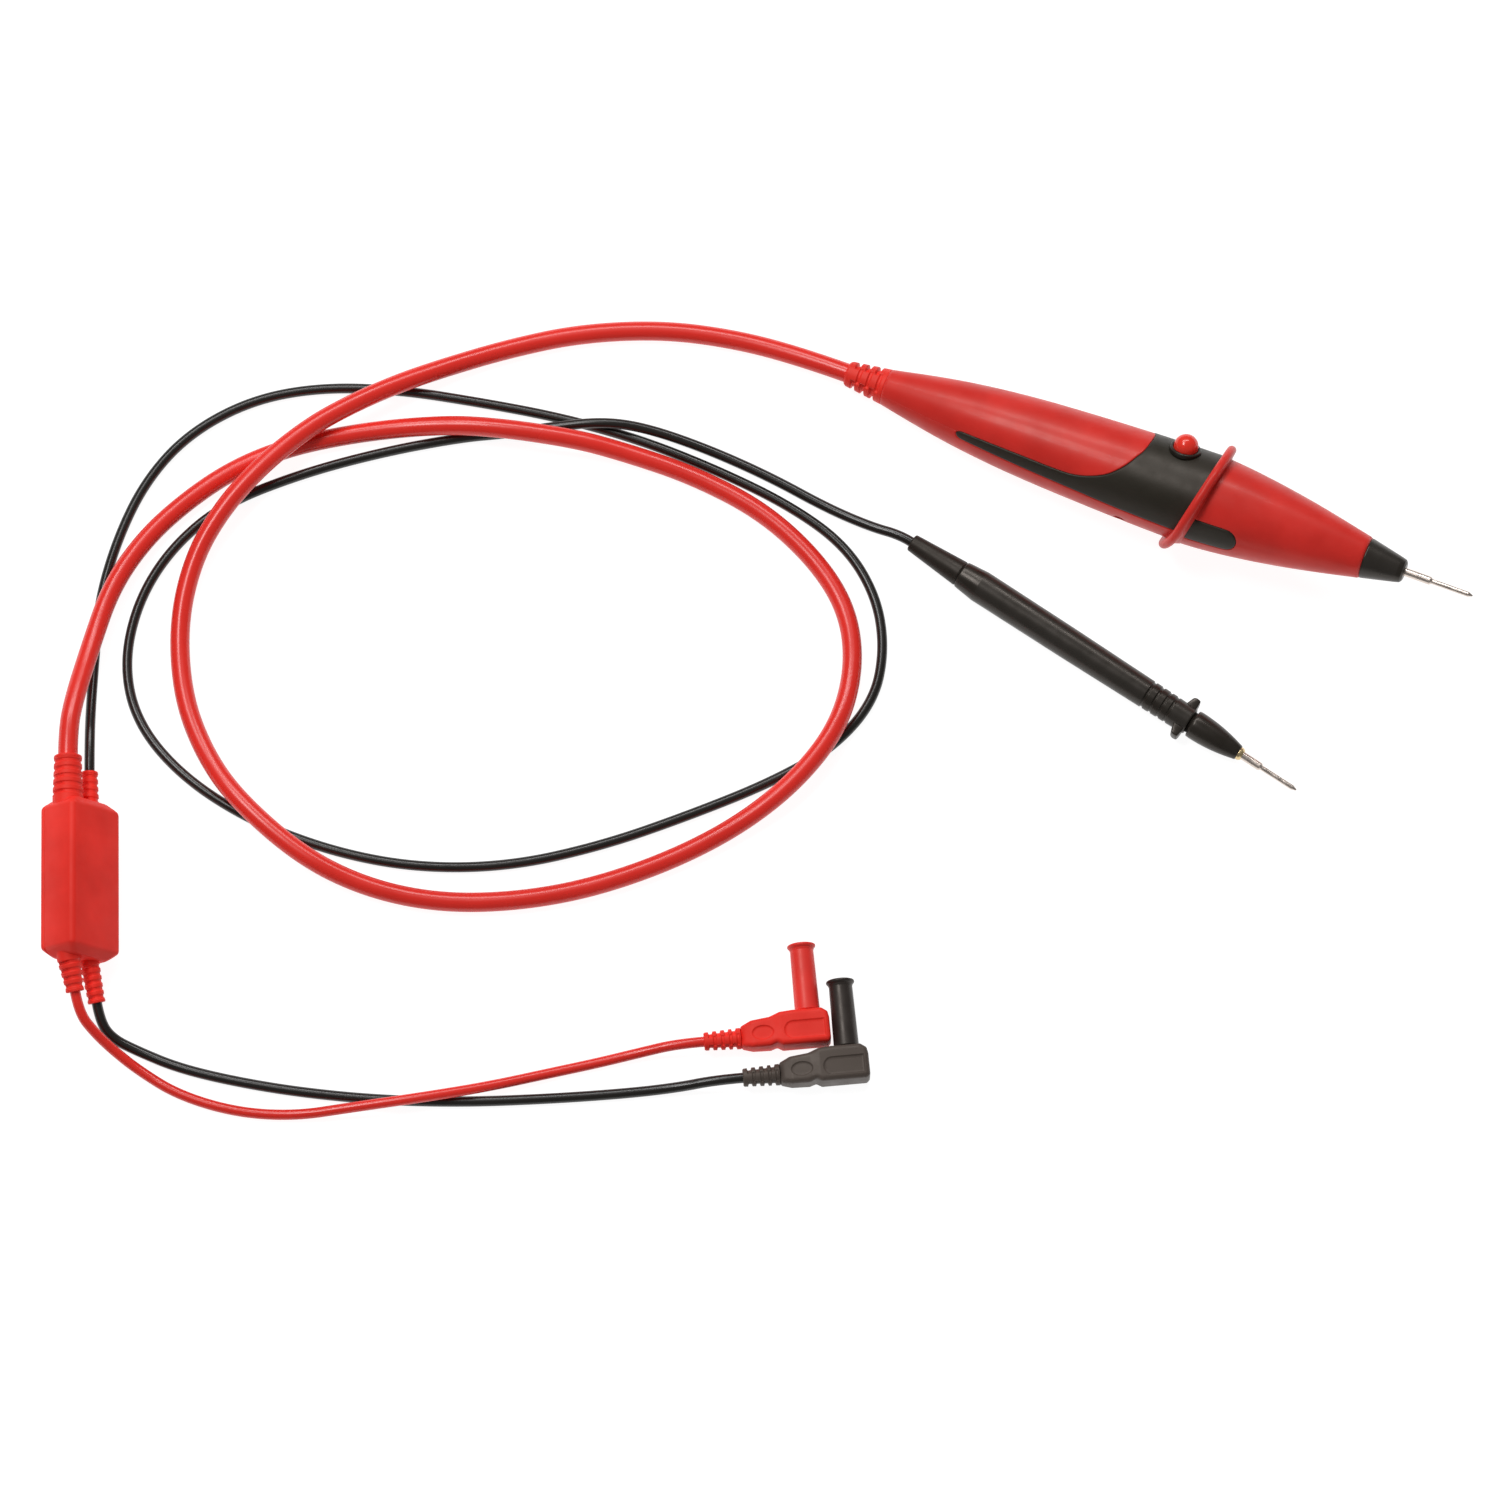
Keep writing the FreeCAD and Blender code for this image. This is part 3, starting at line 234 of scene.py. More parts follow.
def smooth_curve(points, steps=12):
    """Points along a Catmull-Rom curve through the given flat points."""
    padded = [points[0]] + list(points) + [points[-1]]
    curve = []
    for a, b, c, d in zip(padded, padded[1:], padded[2:], padded[3:]):
        for step in range(steps):
            t = step / steps
            curve.append(tuple(0.5 * (2 * q + (r - p) * t + (2 * p - 5 * q + 4 * r - s) * t * t
                                      + (3 * q - p - 3 * r + s) * t ** 3)
                               for p, q, r, s in zip(a, b, c, d)))
    curve.append(tuple(points[-1]))
    return curve


def natural_spline(stations):
    """A function giving the radius of the natural cubic curve through (station, radius) points."""
    xs, ys = np.array(stations).T
    gaps = np.diff(xs)
    count = len(xs)
    system = np.eye(count)
    right = np.zeros(count)
    for i in range(1, count - 1):
        system[i, i - 1:i + 2] = [gaps[i - 1], 2 * (gaps[i - 1] + gaps[i]), gaps[i]]
        right[i] = 6 * ((ys[i + 1] - ys[i]) / gaps[i] - (ys[i] - ys[i - 1]) / gaps[i - 1])
    bends = np.linalg.solve(system, right)

    def radius(x):
        i = int(np.clip(np.searchsorted(xs, x) - 1, 0, count - 2))
        left = xs[i + 1] - x
        past = x - xs[i]
        return float((bends[i] * left ** 3 + bends[i + 1] * past ** 3) / (6 * gaps[i])
                     + (ys[i] / gaps[i] - bends[i] * gaps[i] / 6) * left
                     + (ys[i + 1] / gaps[i] - bends[i + 1] * gaps[i] / 6) * past)
    return radius


def rounded(outline, radius, steps=4):
    """An outline whose corners are arcs, with a support point each side of each arc."""
    result = [outline[0]]
    for before, corner, after in zip(outline, outline[1:], outline[2:]):
        corner_v = Vector(corner)
        back, ahead = (Vector(end) - corner_v for end in (before, after))
        angle = back.angle(ahead)
        reach = min(radius / tan(angle / 2), ARC_REACH * back.length, ARC_REACH * ahead.length)
        back, ahead = (side.normalized() * reach for side in (back, ahead))
        start = corner_v + back
        end = corner_v + ahead
        result.append(tuple(corner_v + back * ARC_SUPPORT))
        for t in (step / steps for step in range(steps + 1)):
            result.append(tuple(start * (1 - t) ** 2 + corner_v * 2 * t * (1 - t) + end * t ** 2))
        result.append(tuple(corner_v + ahead * ARC_SUPPORT))
    result.append(outline[-1])
    return result


def bow(x, y, reach, rise, steps):
    """Half an ellipse about (x, y), from y + rise to y - rise, that bulges along X by reach."""
    turns = [pi * i / steps for i in range(steps + 1)]
    return [(x + reach * sin(turn), y + rise * cos(turn)) for turn in turns]


def bridge(mesh, first, second):
    """Quads, or triangles at a point, between two rings of one turn."""
    if len(first) == 1 and len(second) == 1:
        return
    count = max(len(first), len(second))
    for i in range(count):
        j = (i + 1) % count
        near = (first[i % len(first)], first[j % len(first)])
        far = (second[j % len(second)], second[i % len(second)])
        mesh.faces.new(list(dict.fromkeys(near + far)))


def skinned(mesh, rings):
    """The mesh with faces from each ring to the next, all facing out."""
    for first, second in zip(rings, rings[1:]):
        bridge(mesh, first, second)
    bmesh.ops.recalc_face_normals(mesh, faces=mesh.faces)
    return mesh


def only_verts(geometry):
    return [item for item in geometry if isinstance(item, bmesh.types.BMVert)]


def lathe(outline, turns=64, swell=None):
    """A solid turned about X from (station, radius) points. swell(station, angle) is added to the radius."""
    mesh = bmesh.new()
    rings = []
    for x, r in outline:
        if r < ON_AXIS:
            rings.append([mesh.verts.new((x, 0, 0))])
            continue
        ring = []
        for i in range(turns):
            angle = 2 * pi * i / turns
            reach = r + (swell(x, angle) if swell else 0.0)
            ring.append(mesh.verts.new((x, reach * cos(angle), reach * sin(angle))))
        rings.append(ring)
    return skinned(mesh, rings)


def step_up(value, start, width):
    """0 before start, 1 after start + width, and a smooth rise between."""
    t = min(max((value - start) / width, 0.0), 1.0)
    return t * t * (3 - 2 * t)


def pulse(value, low, high, edge):
    """1 between low and high with smooth edges, and 0 outside."""
    return step_up(value, low - edge / 2, edge) * (1 - step_up(value, high - edge / 2, edge))


def sampled(points, spacing, closed=True, whole=ceil):
    """Points along a line at an even spacing, with its own corners kept."""
    result = []
    ends = list(points[1:]) + ([points[0]] if closed else [])
    for start, end in zip(points, ends):
        count = max(1, whole(dist(start, end) / spacing))
        for t in (i / count for i in range(count)):
            result.append((start[0] + (end[0] - start[0]) * t, start[1] + (end[1] - start[1]) * t))
    if not closed:
        result.append(tuple(points[-1]))
    return result


def spread(outline):
    """The outline with more stations, so that a swell has points to move."""
    return sampled(outline, BOOT_SPACING, closed=False, whole=round)


def linked(name, data):
    """A new object in the scene."""
    piece = bpy.data.objects.new(name, data)
    bpy.context.collection.objects.link(piece)
    return piece


def make_piece(name, mesh, place):
    """An object from a millimetre mesh at a place in the frame."""
    data = bpy.data.meshes.new(name)
    mesh.to_mesh(data)
    mesh.free()
    data.transform(place @ Matrix.Scale(MM, 4))
    data.polygons.foreach_set("use_smooth", [True] * len(data.polygons))
    return linked(name, data)


def inside(points, outline):
    """For each flat point, whether it lies inside the closed outline."""
    px, py = np.asarray(points, float).T
    found = np.zeros(len(px), bool)
    ax, ay = np.asarray(outline, float).T
    bx, by = np.roll(ax, -1), np.roll(ay, -1)
    for x0, y0, x1, y1 in zip(ax, ay, bx, by):
        if y0 == y1:
            continue
        crossing = x0 + (py - y0) * (x1 - x0) / (y1 - y0)
        found ^= ((y0 > py) != (y1 > py)) & (px < crossing)
    return found


class Borders:
    """The lines that a surface is divided along, and how far a flat point is from them."""

    def __init__(self, lines, spacing):
        self.lines = [(sampled(points, spacing, closed), closed) for points, closed in lines]
        fine = []
        for points, closed in self.lines:
            fine += sampled(points, spacing / 6, closed)
        self.tree = KDTree(len(fine))
        for i, (x, y) in enumerate(fine):
            self.tree.insert((x, y, 0), i)
        self.tree.balance()

    def distance(self, x, y):
        return self.tree.find((x, y, 0))[2]


def divided(domain, borders, spacing, rows, margin=0.33):
    """Triangles over a flat domain whose edges follow the borders, with rows of points beside each."""
    edge_points = sampled(domain, spacing)
    points = list(edge_points)
    loose = []
    edges = [(i, (i + 1) % len(edge_points)) for i in range(len(edge_points))]
    for line, closed in borders.lines:
        start = len(points)
        points += line
        edges += [(start + i, start + i + 1) for i in range(len(line) - 1)]
        if closed:
            edges.append((start + len(line) - 1, start))
        for i in range(len(line)):
            x0, y0 = line[i - 1] if (closed or i) else line[i]
            x1, y1 = line[(i + 1) % len(line)] if (closed or i + 1 < len(line)) else line[i]
            length = hypot(x1 - x0, y1 - y0) or 1.0
            across = ((y1 - y0) / length, (x0 - x1) / length)
            for side in (-1, 1):
                for row in rows:
                    x = line[i][0] + side * row * across[0]
                    y = line[i][1] + side * row * across[1]
                    if borders.distance(x, y) > ROW_CLEARANCE * row:
                        loose.append((x, y))
    xs, ys = zip(*domain)
    row_step = spacing * sqrt(3) / 2
    for j in range(1, int((max(ys) - min(ys)) / row_step) + 1):
        y = min(ys) + j * row_step
        for i in range(int((max(xs) - min(xs)) / spacing) + 1):
            x = min(xs) + (i + 0.5 * (j % 2)) * spacing
            if borders.distance(x, y) > rows[-1] + GRID_CLEARANCE * spacing:
                loose.append((x, y))
    kept = inside(loose, domain)
    near_edge = Borders([(domain, True)], spacing)
    points += [p for p, good in zip(loose, kept) if good and near_edge.distance(*p) > margin]
    found = delaunay_2d_cdt([Vector(p) for p in points], edges, [], 0, 1e-5)
    flat = np.array([(v.x, v.y) for v in found[0]])
    faces = np.array(found[2])
    middles = flat[faces].mean(axis=1)
    return flat, faces[inside(middles, domain)]


def cut_out(flat, faces, chosen, lift):
    """A mesh of the chosen triangles, each flat point put in its place by lift(x, y)."""
    mesh = bmesh.new()
    used = {}
    for corners in faces[chosen]:
        for i in corners:
            if i not in used:
                used[i] = mesh.verts.new(lift(*flat[i]))
        mesh.faces.new([used[i] for i in corners])
    return mesh


def border_walls(mesh, inward, skip):
    """Walls from a surface's open edges to where inward(point) leads, except where skip(point) is true."""
    open_edges = [e for e in mesh.edges if e.is_boundary and not all(skip(v.co) for v in e.verts)]
    made = bmesh.ops.extrude_edge_only(mesh, edges=open_edges)["geom"]
    for vert in only_verts(made):
        vert.co = inward(vert.co)


def mirrored(mesh, axis):
    """The mesh joined to its mirror image across the plane through the origin."""
    flip = Matrix.Identity(4)
    flip[axis][axis] = -1
    twin = bmesh.ops.duplicate(mesh, geom=mesh.verts[:] + mesh.edges[:] + mesh.faces[:])["geom"]
    bmesh.ops.transform(mesh, matrix=flip, verts=only_verts(twin))
    bmesh.ops.remove_doubles(mesh, verts=mesh.verts, dist=1e-3)
    bmesh.ops.recalc_face_normals(mesh, faces=mesh.faces)
    return mesh


def edge_drop(distance, radius):
    """How far a rounded edge has dropped at a distance in from it."""
    if distance >= radius:
        return 0.0
    return radius - sqrt(radius ** 2 - (radius - distance) ** 2)


# ---------------- materials

WARM_SHINE = (1.0, 0.90, 0.82, 1.0)
NOISE_LOW, NOISE_HIGH = 0.3, 0.7
# Pointiness range over which the painted edge highlight comes in on convex edges
EDGE_HIGHLIGHT_FROM, EDGE_HIGHLIGHT_TO = 0.52, 0.62
PLASTIC_RELIEF = 0.00008
JACKET_RELIEF = 0.0002
METAL_RELIEF = 0.00004


def fill(node, values):
    """Sets the inputs of a node by their names."""
    for name, value in values.items():
        node.inputs[name].default_value = value


class Surface:
    """A node material: its nodes, its shader and its object coordinates."""

    def __init__(self, name, roughness, metallic=0.0):
        self.material = bpy.data.materials.new(name)
        self.material.use_nodes = True
        self.nodes = self.material.node_tree.nodes
        self.link = self.material.node_tree.links.new
        self.shader = self.nodes["Principled BSDF"]
        fill(self.shader, {"Roughness": roughness, "Metallic": metallic})
        self.coords = self.node("TexCoord").outputs["Object"]

    def node(self, kind, values=None):
        """A new shader node with some of its inputs set."""
        node = self.nodes.new("ShaderNode" + kind)
        fill(node, values or {})
        return node

    def noise(self, scale, detail=2.0):
        """A noise texture in object space; scale is in features per metre."""
        texture = self.node("TexNoise", {"Scale": scale, "Detail": detail})
        self.link(self.coords, texture.inputs["Vector"])
        return texture.outputs["Fac"]

    def ranged(self, value, low, high, start=NOISE_LOW, end=NOISE_HIGH):
        """A value that goes from low to high while the given one goes from start to end."""
        node = self.node("MapRange", {"From Min": start, "From Max": end, "To Min": low, "To Max": high})
        self.link(value, node.inputs["Value"])
        return node.outputs["Result"]

    def two_tone(self, value, low, high, start=NOISE_LOW):
        """A colour that goes from low to high as the value goes from start to 1 - start."""
        node = self.node("ValToRGB")
        for element, place, colour in zip(node.color_ramp.elements, (start, 1 - start), (low, high)):
            element.position = place
            element.color = (*colour, 1)
        self.link(value, node.inputs["Fac"])
        return node.outputs["Color"]

    def bumped(self, heights, distance):
        """Surface relief from (height, strength) pairs, one on another."""
        normal = None
        for height, strength in heights:
            bump = self.node("Bump", {"Strength": strength, "Distance": distance})
            self.link(height, bump.inputs["Height"])
            if normal:
                self.link(normal, bump.inputs["Normal"])
            normal = bump.outputs["Normal"]
        self.link(normal, self.shader.inputs["Normal"])

    def joins(self, output, name):
        """Links an output to the named input of the shader."""
        self.link(output, self.shader.inputs[name])


def plastic(name, colour, roughness, grain=2600.0, grain_depth=0.10, coat=0.0, shine=0.30, edge_highlight=0.35,
            mottle=0.10):
    """Moulded plastic: fine grain, slow unevenness of gloss and colour, and a painted highlight that makes
    convex edges a little paler.
    """
    look = Surface(name, roughness)
    fill(look.shader, {"Specular IOR Level": shine, "Specular Tint": WARM_SHINE, "Coat Weight": coat,
                       "Coat Roughness": 0.12})
    fine = look.noise(grain)
    slow = look.noise(60.0, 4.0)
    smudges = look.noise(220.0, 3.0)
    look.joins(look.ranged(smudges, roughness - 0.05, roughness + 0.07), "Roughness")
    darker = [c * (1 - mottle) for c in colour]
    paler = [min(1.0, c * (1 + mottle) + 0.004) for c in colour]
    # Convex edges are painted paler: a painted highlight where rounded edges catch the light
    pointiness = look.node("NewGeometry").outputs["Pointiness"]
    mix = look.node("Mix")
    mix.data_type = "RGBA"
    mix.inputs[7].default_value = (*[min(1.0, c * 1.25 + 0.02) for c in colour], 1)
    look.link(look.ranged(pointiness, 0.0, edge_highlight, EDGE_HIGHLIGHT_FROM, EDGE_HIGHLIGHT_TO), mix.inputs[0])
    look.link(look.two_tone(slow, darker, paler), mix.inputs[6])
    look.joins(mix.outputs[2], "Base Color")
    look.bumped([(fine, grain_depth), (smudges, 0.05)], PLASTIC_RELIEF)
    return look.material


def jacket(name, colour, roughness=0.26):
    """Extruded cable jacket: glossy, with a faint long waviness and a few duller patches."""
    look = Surface(name, roughness)
    waves = look.noise(130.0, 1.5)
    fine = look.noise(1800.0)
    slow = look.noise(24.0, 3.0)
    look.joins(look.ranged(slow, roughness - 0.04, roughness + 0.08), "Roughness")
    darker = [c * 0.92 for c in colour]
    paler = [min(1.0, c * 1.06) for c in colour]
    look.joins(look.two_tone(slow, darker, paler), "Base Color")
    look.bumped([(waves, 0.25), (fine, 0.03)], JACKET_RELIEF)
    return look.material


def metal(name, colour, roughness, marks_depth=0.03):
    """Plated metal with fine turning marks and a slightly clouded polish."""
    look = Surface(name, roughness, 1.0)
    cloud = look.noise(400.0, 4.0)
    marks = look.noise(5200.0, 3.0)
    look.joins(look.ranged(cloud, roughness - 0.06, roughness + 0.10), "Roughness")
    darker = [c * 0.86 for c in colour]
    look.joins(look.two_tone(cloud, darker, colour, start=0.35), "Base Color")
    look.bumped([(marks, marks_depth)], METAL_RELIEF)
    return look.material


MATERIALS = {
    "red_soft_pvc": plastic("red soft PVC", (0.80, 0.026, 0.016), 0.48, grain_depth=0.14),
    "red_gloss_abs": plastic("red ABS", (0.66, 0.025, 0.018), 0.38, grain_depth=0.06, coat=0.05, shine=0.28),
    "red_matte_pvc": plastic("red matte PVC", (0.86, 0.024, 0.014), 0.55, grain=2200.0, grain_depth=0.22),
    "red_button": plastic("red button", (0.88, 0.036, 0.020), 0.24, grain_depth=0.03, coat=0.4),
    "red_gloss_cap": plastic("red cap", (0.79, 0.032, 0.024), 0.40, grain_depth=0.05, shine=0.4),
    "red_cable_jacket": jacket("red jacket", (0.82, 0.026, 0.016)),
    "black_soft_grip": plastic("black soft grip", (0.018, 0.015, 0.010), 0.42, grain=3200.0,
                               grain_depth=0.22, shine=0.34),
    "black_abs": plastic("black ABS", (0.015, 0.012, 0.009), 0.31, grain_depth=0.07, shine=0.45),
    "black_soft_pvc": plastic("black soft PVC", (0.018, 0.014, 0.011), 0.42, grain_depth=0.12),
    "black_matte_pvc": plastic("black matte PVC", (0.082, 0.064, 0.054), 0.46, grain=2400.0,
                               grain_depth=0.22),
    "black_gloss_cap": plastic("black cap", (0.022, 0.017, 0.015), 0.38, grain_depth=0.06, shine=0.45),
    "black_cable_jacket": jacket("black jacket", (0.011, 0.009, 0.007)),
    "steel": metal("zinc plated steel", (0.55, 0.56, 0.58), 0.34),
    "spring_steel": metal("spring steel", (0.50, 0.50, 0.52), 0.30),
    "nickel": metal("nickel plate", (0.78, 0.68, 0.61), 0.28, marks_depth=0.004),
    "brass": metal("brass", (0.80, 0.62, 0.34), 0.24),
    "board_laminate": plastic("board laminate", (0.04, 0.20, 0.08), 0.40),
    "resistor_ceramic": plastic("ceramic", (0.72, 0.69, 0.58), 0.60),
    "white_nylon": plastic("nylon", (0.82, 0.82, 0.78), 0.45),
}


# ---------------- places, read from the frame

def axes_matrix(origin, x_axis, z_axis):
    """A place from its origin and two of its axes."""
    x_axis = Vector(x_axis).normalized()
    z_axis = (Vector(z_axis) - Vector(z_axis).project(x_axis)).normalized()
    turn = Matrix((x_axis, z_axis.cross(x_axis), z_axis)).transposed()
    return Matrix.Translation(origin) @ turn.to_4x4()


def turned_by(angle, axis):
    """A turn by an angle in degrees."""
    return Matrix.Rotation(radians(angle), 4, axis)


def shifted(x, y=0.0, z=0.0):
    """A shift given in millimetres."""
    return Matrix.Translation(Vector((x, y, z)) * MM)


MOUNTS = {mount["name"]: mount for mount in frame["record"]["mounts"]}
JOINTS = {joint["name"]: joint for joint in frame["record"]["behaviour"]["joints"]}


def probe_place(mount, station, up):
    axis = Vector(MOUNTS[mount]["axis"])
    return axes_matrix(Vector(MOUNTS[mount]["pos_m"]) - axis * station * MM, axis, up)


def plug_place(mount):
    """The plug's own frame: its pin points along +Y."""
    along = Vector(MOUNTS[mount]["axis"])
    across = along.cross(Z)
    corner = Vector(MOUNTS[mount]["pos_m"]) - along * PIN_MOUNT_REACH * MM
    return axes_matrix(corner - across * PIN_STATION * MM, across, Z)


def box_place():
    lows, highs = zip(*(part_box(node) for node in ("junction_tray", "junction_lid")))
    low = Vector(map(min, *lows))
    high = Vector(map(max, *highs))
    return Matrix.Translation((low + high) / 2) @ turned_by(BOX_HEADING, "Z") @ turned_by(BOX_ROLL, "Y")


RED_PROBE = probe_place("red_probe_needle", NEEDLE_MOUNT_STATION, -Vector(JOINTS["button_press"]["axis"]))
BLACK_PROBE = probe_place("black_probe_needle", BLACK_MOUNT_STATION, Z)
BOX = box_place()
PLUGS = {"red": plug_place("red_banana"), "black": plug_place("black_banana")}
UPRIGHT = turned_by(-90, "Y")
ALONG_Y = turned_by(90, "Z")
ROOT_BODY = "leads_and_housings"


def settle(piece, slot, body, *nodes):
    """Gives a piece its material and its body, and hides the CAD nodes that it stands for."""
    piece.data.materials.append(MATERIALS[slot])
    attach(piece, body)
    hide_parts(*nodes)
    return piece


def build(name, mesh, place, slot, *nodes, body=ROOT_BODY):
    return settle(make_piece(name, mesh, place), slot, body, *nodes)


# ---------------- red probe

HANDLE_RADIUS = natural_spline(HANDLE_STATIONS)
NOSE_RADIUS = natural_spline(NOSE_STATIONS)
UNROLL = 14.0


def unrolled(points, radius_at):
    """Side-view points (station, height) laid onto the unrolled skin of a turned shape."""
    return [(x, asin(max(-1.0, min(1.0, z / radius_at(x)))) * UNROLL) for x, z in points]


def guard_line(radius_at, count=24):
    """The unrolled line where a turned skin meets the slanted guard, from underneath to the top."""
    slope = tan(radians(GUARD_TILT))
    radius = radius_at(GUARD_STATION)
    angles = [-QUARTER + pi * i / count for i in range(count + 1)]
    return [(GUARD_STATION + radius * sin(angle) * slope, angle * UNROLL) for angle in angles]


def round_hole(x, y, radius, radius_at, side, count=28):
    """The unrolled outline of a round hole bored straight in from the top (1) or the underside (-1)."""
    line = []
    for i in range(count + 1):
        turn = (2 if y else 1) * pi * i / count
        across = min(max(y + radius * sin(turn), 0.0), radius_at(x))
        station = x + radius * cos(turn)
        line.append((station, side * acos(across / radius_at(station)) * UNROLL))
    return line


def skin_point(x, w, radius):
    angle = w / UNROLL
    return Vector((x, radius * cos(angle), radius * sin(angle)))


def inward_by(depth):
    """Moves a point of a turned skin towards the axis."""
    def move(point):
        radius = hypot(point.y, point.z)
        share = (radius - depth) / radius
        return Vector((point.x, point.y * share, point.z * share))
    return move


def on_middle_plane(point):
    return abs(point.y) < 1e-3


def skin_piece(name, flat, faces, chosen, lift, slot, *nodes):
    """One half skin with its edges turned in, mirrored to the other side of the probe."""
    mesh = cut_out(flat, faces, chosen, lift)
    border_walls(mesh, inward_by(WALL_DEPTH), on_middle_plane)
    return build(name, mirrored(mesh, 1), RED_PROBE, slot, *nodes)


def soft_skin(radius_at, rims):
    """Where soft plastic lies on a turned shape: a little proud of it, with round edges."""
    def lift(x, w):
        return skin_point(x, w, radius_at(x) + SOFT_PROUD - edge_drop(rims.distance(x, w), SOFT_EDGE))
    return lift


def handle():
    """The two handle shells and the soft grip moulded into them."""
    lobe = unrolled([p for p in smooth_curve(GRIP_LOBE) if p[1] < HANDLE_RADIUS(p[0])], HANDLE_RADIUS)
    top = (lobe[0][0], QUARTER * UNROLL)
    rear_x, rear_z = GRIP_REAR
    foot_x, foot_z = GRIP_FOOT[0]
    bulge = foot_x - rear_x
    half_height = rear_z - foot_z
    rear = bow(foot_x, rear_z, -bulge, half_height, 8)[1:-1]
    foot = unrolled(rear + sampled(GRIP_FOOT, 4.0, closed=False), HANDLE_RADIUS)
    meeting = guard_line(HANDLE_RADIUS)
    grip_line = [top] + lobe + foot
    start = HANDLE_STATIONS[0][0]
    domain = [(start, -QUARTER * UNROLL)] + meeting + [(start, QUARTER * UNROLL)]
    holes = [round_hole(x, y, SCREW_HOLE_RADIUS, HANDLE_RADIUS, -1) for x, y in SCREW_SPOTS]
    holes.append(round_hole(BUTTON_STATION, 0.0, BEZEL_RADIUS, HANDLE_RADIUS, 1))
    edges = [(line, False) for line in [grip_line] + holes]
    seam_turn = acos(-rear_z / half_height)
    seam = [(start, 0.0), (foot_x - bulge * sin(seam_turn), 0.0)]
    rims = Borders(edges, BORDER_SPACING)
    seams = Borders([(seam, False)], BORDER_SPACING)
    borders = Borders(edges + [(seam, False)], BORDER_SPACING)
    flat, faces = divided(domain, borders, SKIN_SPACING, EDGE_ROWS)
    middles = flat[faces].mean(axis=1)
    front = [(GRIP_BEYOND, foot[-1][1]), (GRIP_BEYOND, QUARTER * UNROLL + 1)]
    in_grip = inside(middles, grip_line + front)
    in_hole = np.any([inside(middles, hole) for hole in holes], axis=0)

    def shell_point(x, w):
        drop = edge_drop(rims.distance(x, w), SHELL_EDGE) + edge_drop(seams.distance(x, w), SEAM_EDGE)
        return skin_point(x, w, HANDLE_RADIUS(x) - drop)

    for half, part in (("top", middles[:, 1] > 0), ("bottom", middles[:, 1] < 0)):
        skin_piece("red_handle_" + half, flat, faces, ~in_grip & ~in_hole & part, shell_point,
                   "red_gloss_abs", "handle_" + half + "_shell")
    skin_piece("soft_grip_saddle", flat, faces, in_grip & ~in_hole, soft_skin(HANDLE_RADIUS, rims),
               "black_soft_grip", "soft_grip")


def guard_ring():
    """The slanted finger guard, its lower edge swept back."""
    rim = GUARD_THICKNESS / 2
    crown = GUARD_RADIUS - rim
    outline = [(-rim, GUARD_BORE), (-rim, crown)]
    outline += [(x, radius) for radius, x in bow(crown, 0.0, rim, -rim, 12)[1:-1]]
    outline += [(rim, crown)] + [(rim + x, radius) for x, radius in GUARD_FOOT]
    guard = lathe(outline + [(rim + GUARD_FOOT[-1][0], GUARD_BORE)], 128)
    for vert in guard.verts:
        reach = hypot(vert.co.y, vert.co.z)
        below = degrees(acos(max(-1.0, min(1.0, vert.co.z / reach))))
        swept = step_up(below, SWEEP_FROM, SWEEP_OVER) * step_up(reach, NOSE_STATIONS[1][1], 2.5)
        vert.co.x -= GUARD_SWEEP * swept
    guard.transform(Matrix.Translation((GUARD_STATION, 0, 0)) @ turned_by(GUARD_TILT, "Y"))
    return guard


def nose():
    """The nose cone with its slanted guard, and the soft pads let into its sides."""
    rear_top, front_top, front_low, rear_low = PAD_SIDES
    middle = (front_top + front_low) / 2
    reach = (front_top - front_low) / 2
    front = bow(PAD_FRONT, middle, PAD_TIP - PAD_FRONT, reach, 12)
    outline = [(PAD_REAR, rear_top)] + sampled(front, 0.8, closed=False) + [(PAD_REAR, rear_low)]
    pad_line = unrolled(outline, NOSE_RADIUS)
    end = NOSE_STATIONS[-1][0]
    domain = guard_line(NOSE_RADIUS)[::-1] + [(end, -QUARTER * UNROLL), (end, QUARTER * UNROLL)]
    rims = Borders([(pad_line, False)], BORDER_SPACING)
    flat, faces = divided(domain, rims, SKIN_SPACING, EDGE_ROWS)
    middles = flat[faces].mean(axis=1)
    in_pad = inside(middles, pad_line)

    def cone_point(x, w):
        drop = edge_drop(rims.distance(x, w), CONE_EDGE) + edge_drop(end - x, CONE_END_EDGE)
        return skin_point(x, w, NOSE_RADIUS(x) - drop)

    cone = cut_out(flat, faces, ~in_pad, cone_point)
    border_walls(cone, inward_by(WALL_DEPTH), on_middle_plane)
    mirrored(cone, 1)
    joined(cone, guard_ring())
    build("red_nose_cone", cone, RED_PROBE, "red_gloss_abs", "nose_shell")
    skin_piece("nose_grip_pads", flat, faces, in_pad, soft_skin(NOSE_RADIUS, rims), "black_soft_grip",
               "nose_side_pads")


def joined(mesh, other):
    """Adds another mesh to this one."""
    data = bpy.data.meshes.new("joined")
    other.to_mesh(data)
    other.free()
    mesh.from_mesh(data)
    bpy.data.meshes.remove(data)
    return mesh


def brick_slots(starts, width, depth, facing, flank_share, low, high):
    """Staggered slots between two stations: pairs on the flanks of a boot, and shallower ones facing out."""
    def swell(x, angle):
        if not low < x < high:
            return 0.0
        flank = abs(sin(angle - facing))
        outward = abs(cos(angle - facing))
        cut = 0.0
        for start in starts:
            between = start + width * 1.25
            deep = pulse(x, start, start + width, 0.3) * step_up(flank, flank_share, 0.12)
            shallow = pulse(x, between, between + width * 0.75, 0.3) * step_up(outward, 0.80, 0.08)
            cut = max(cut, deep, 0.55 * shallow)
        return -cut * depth
    return swell


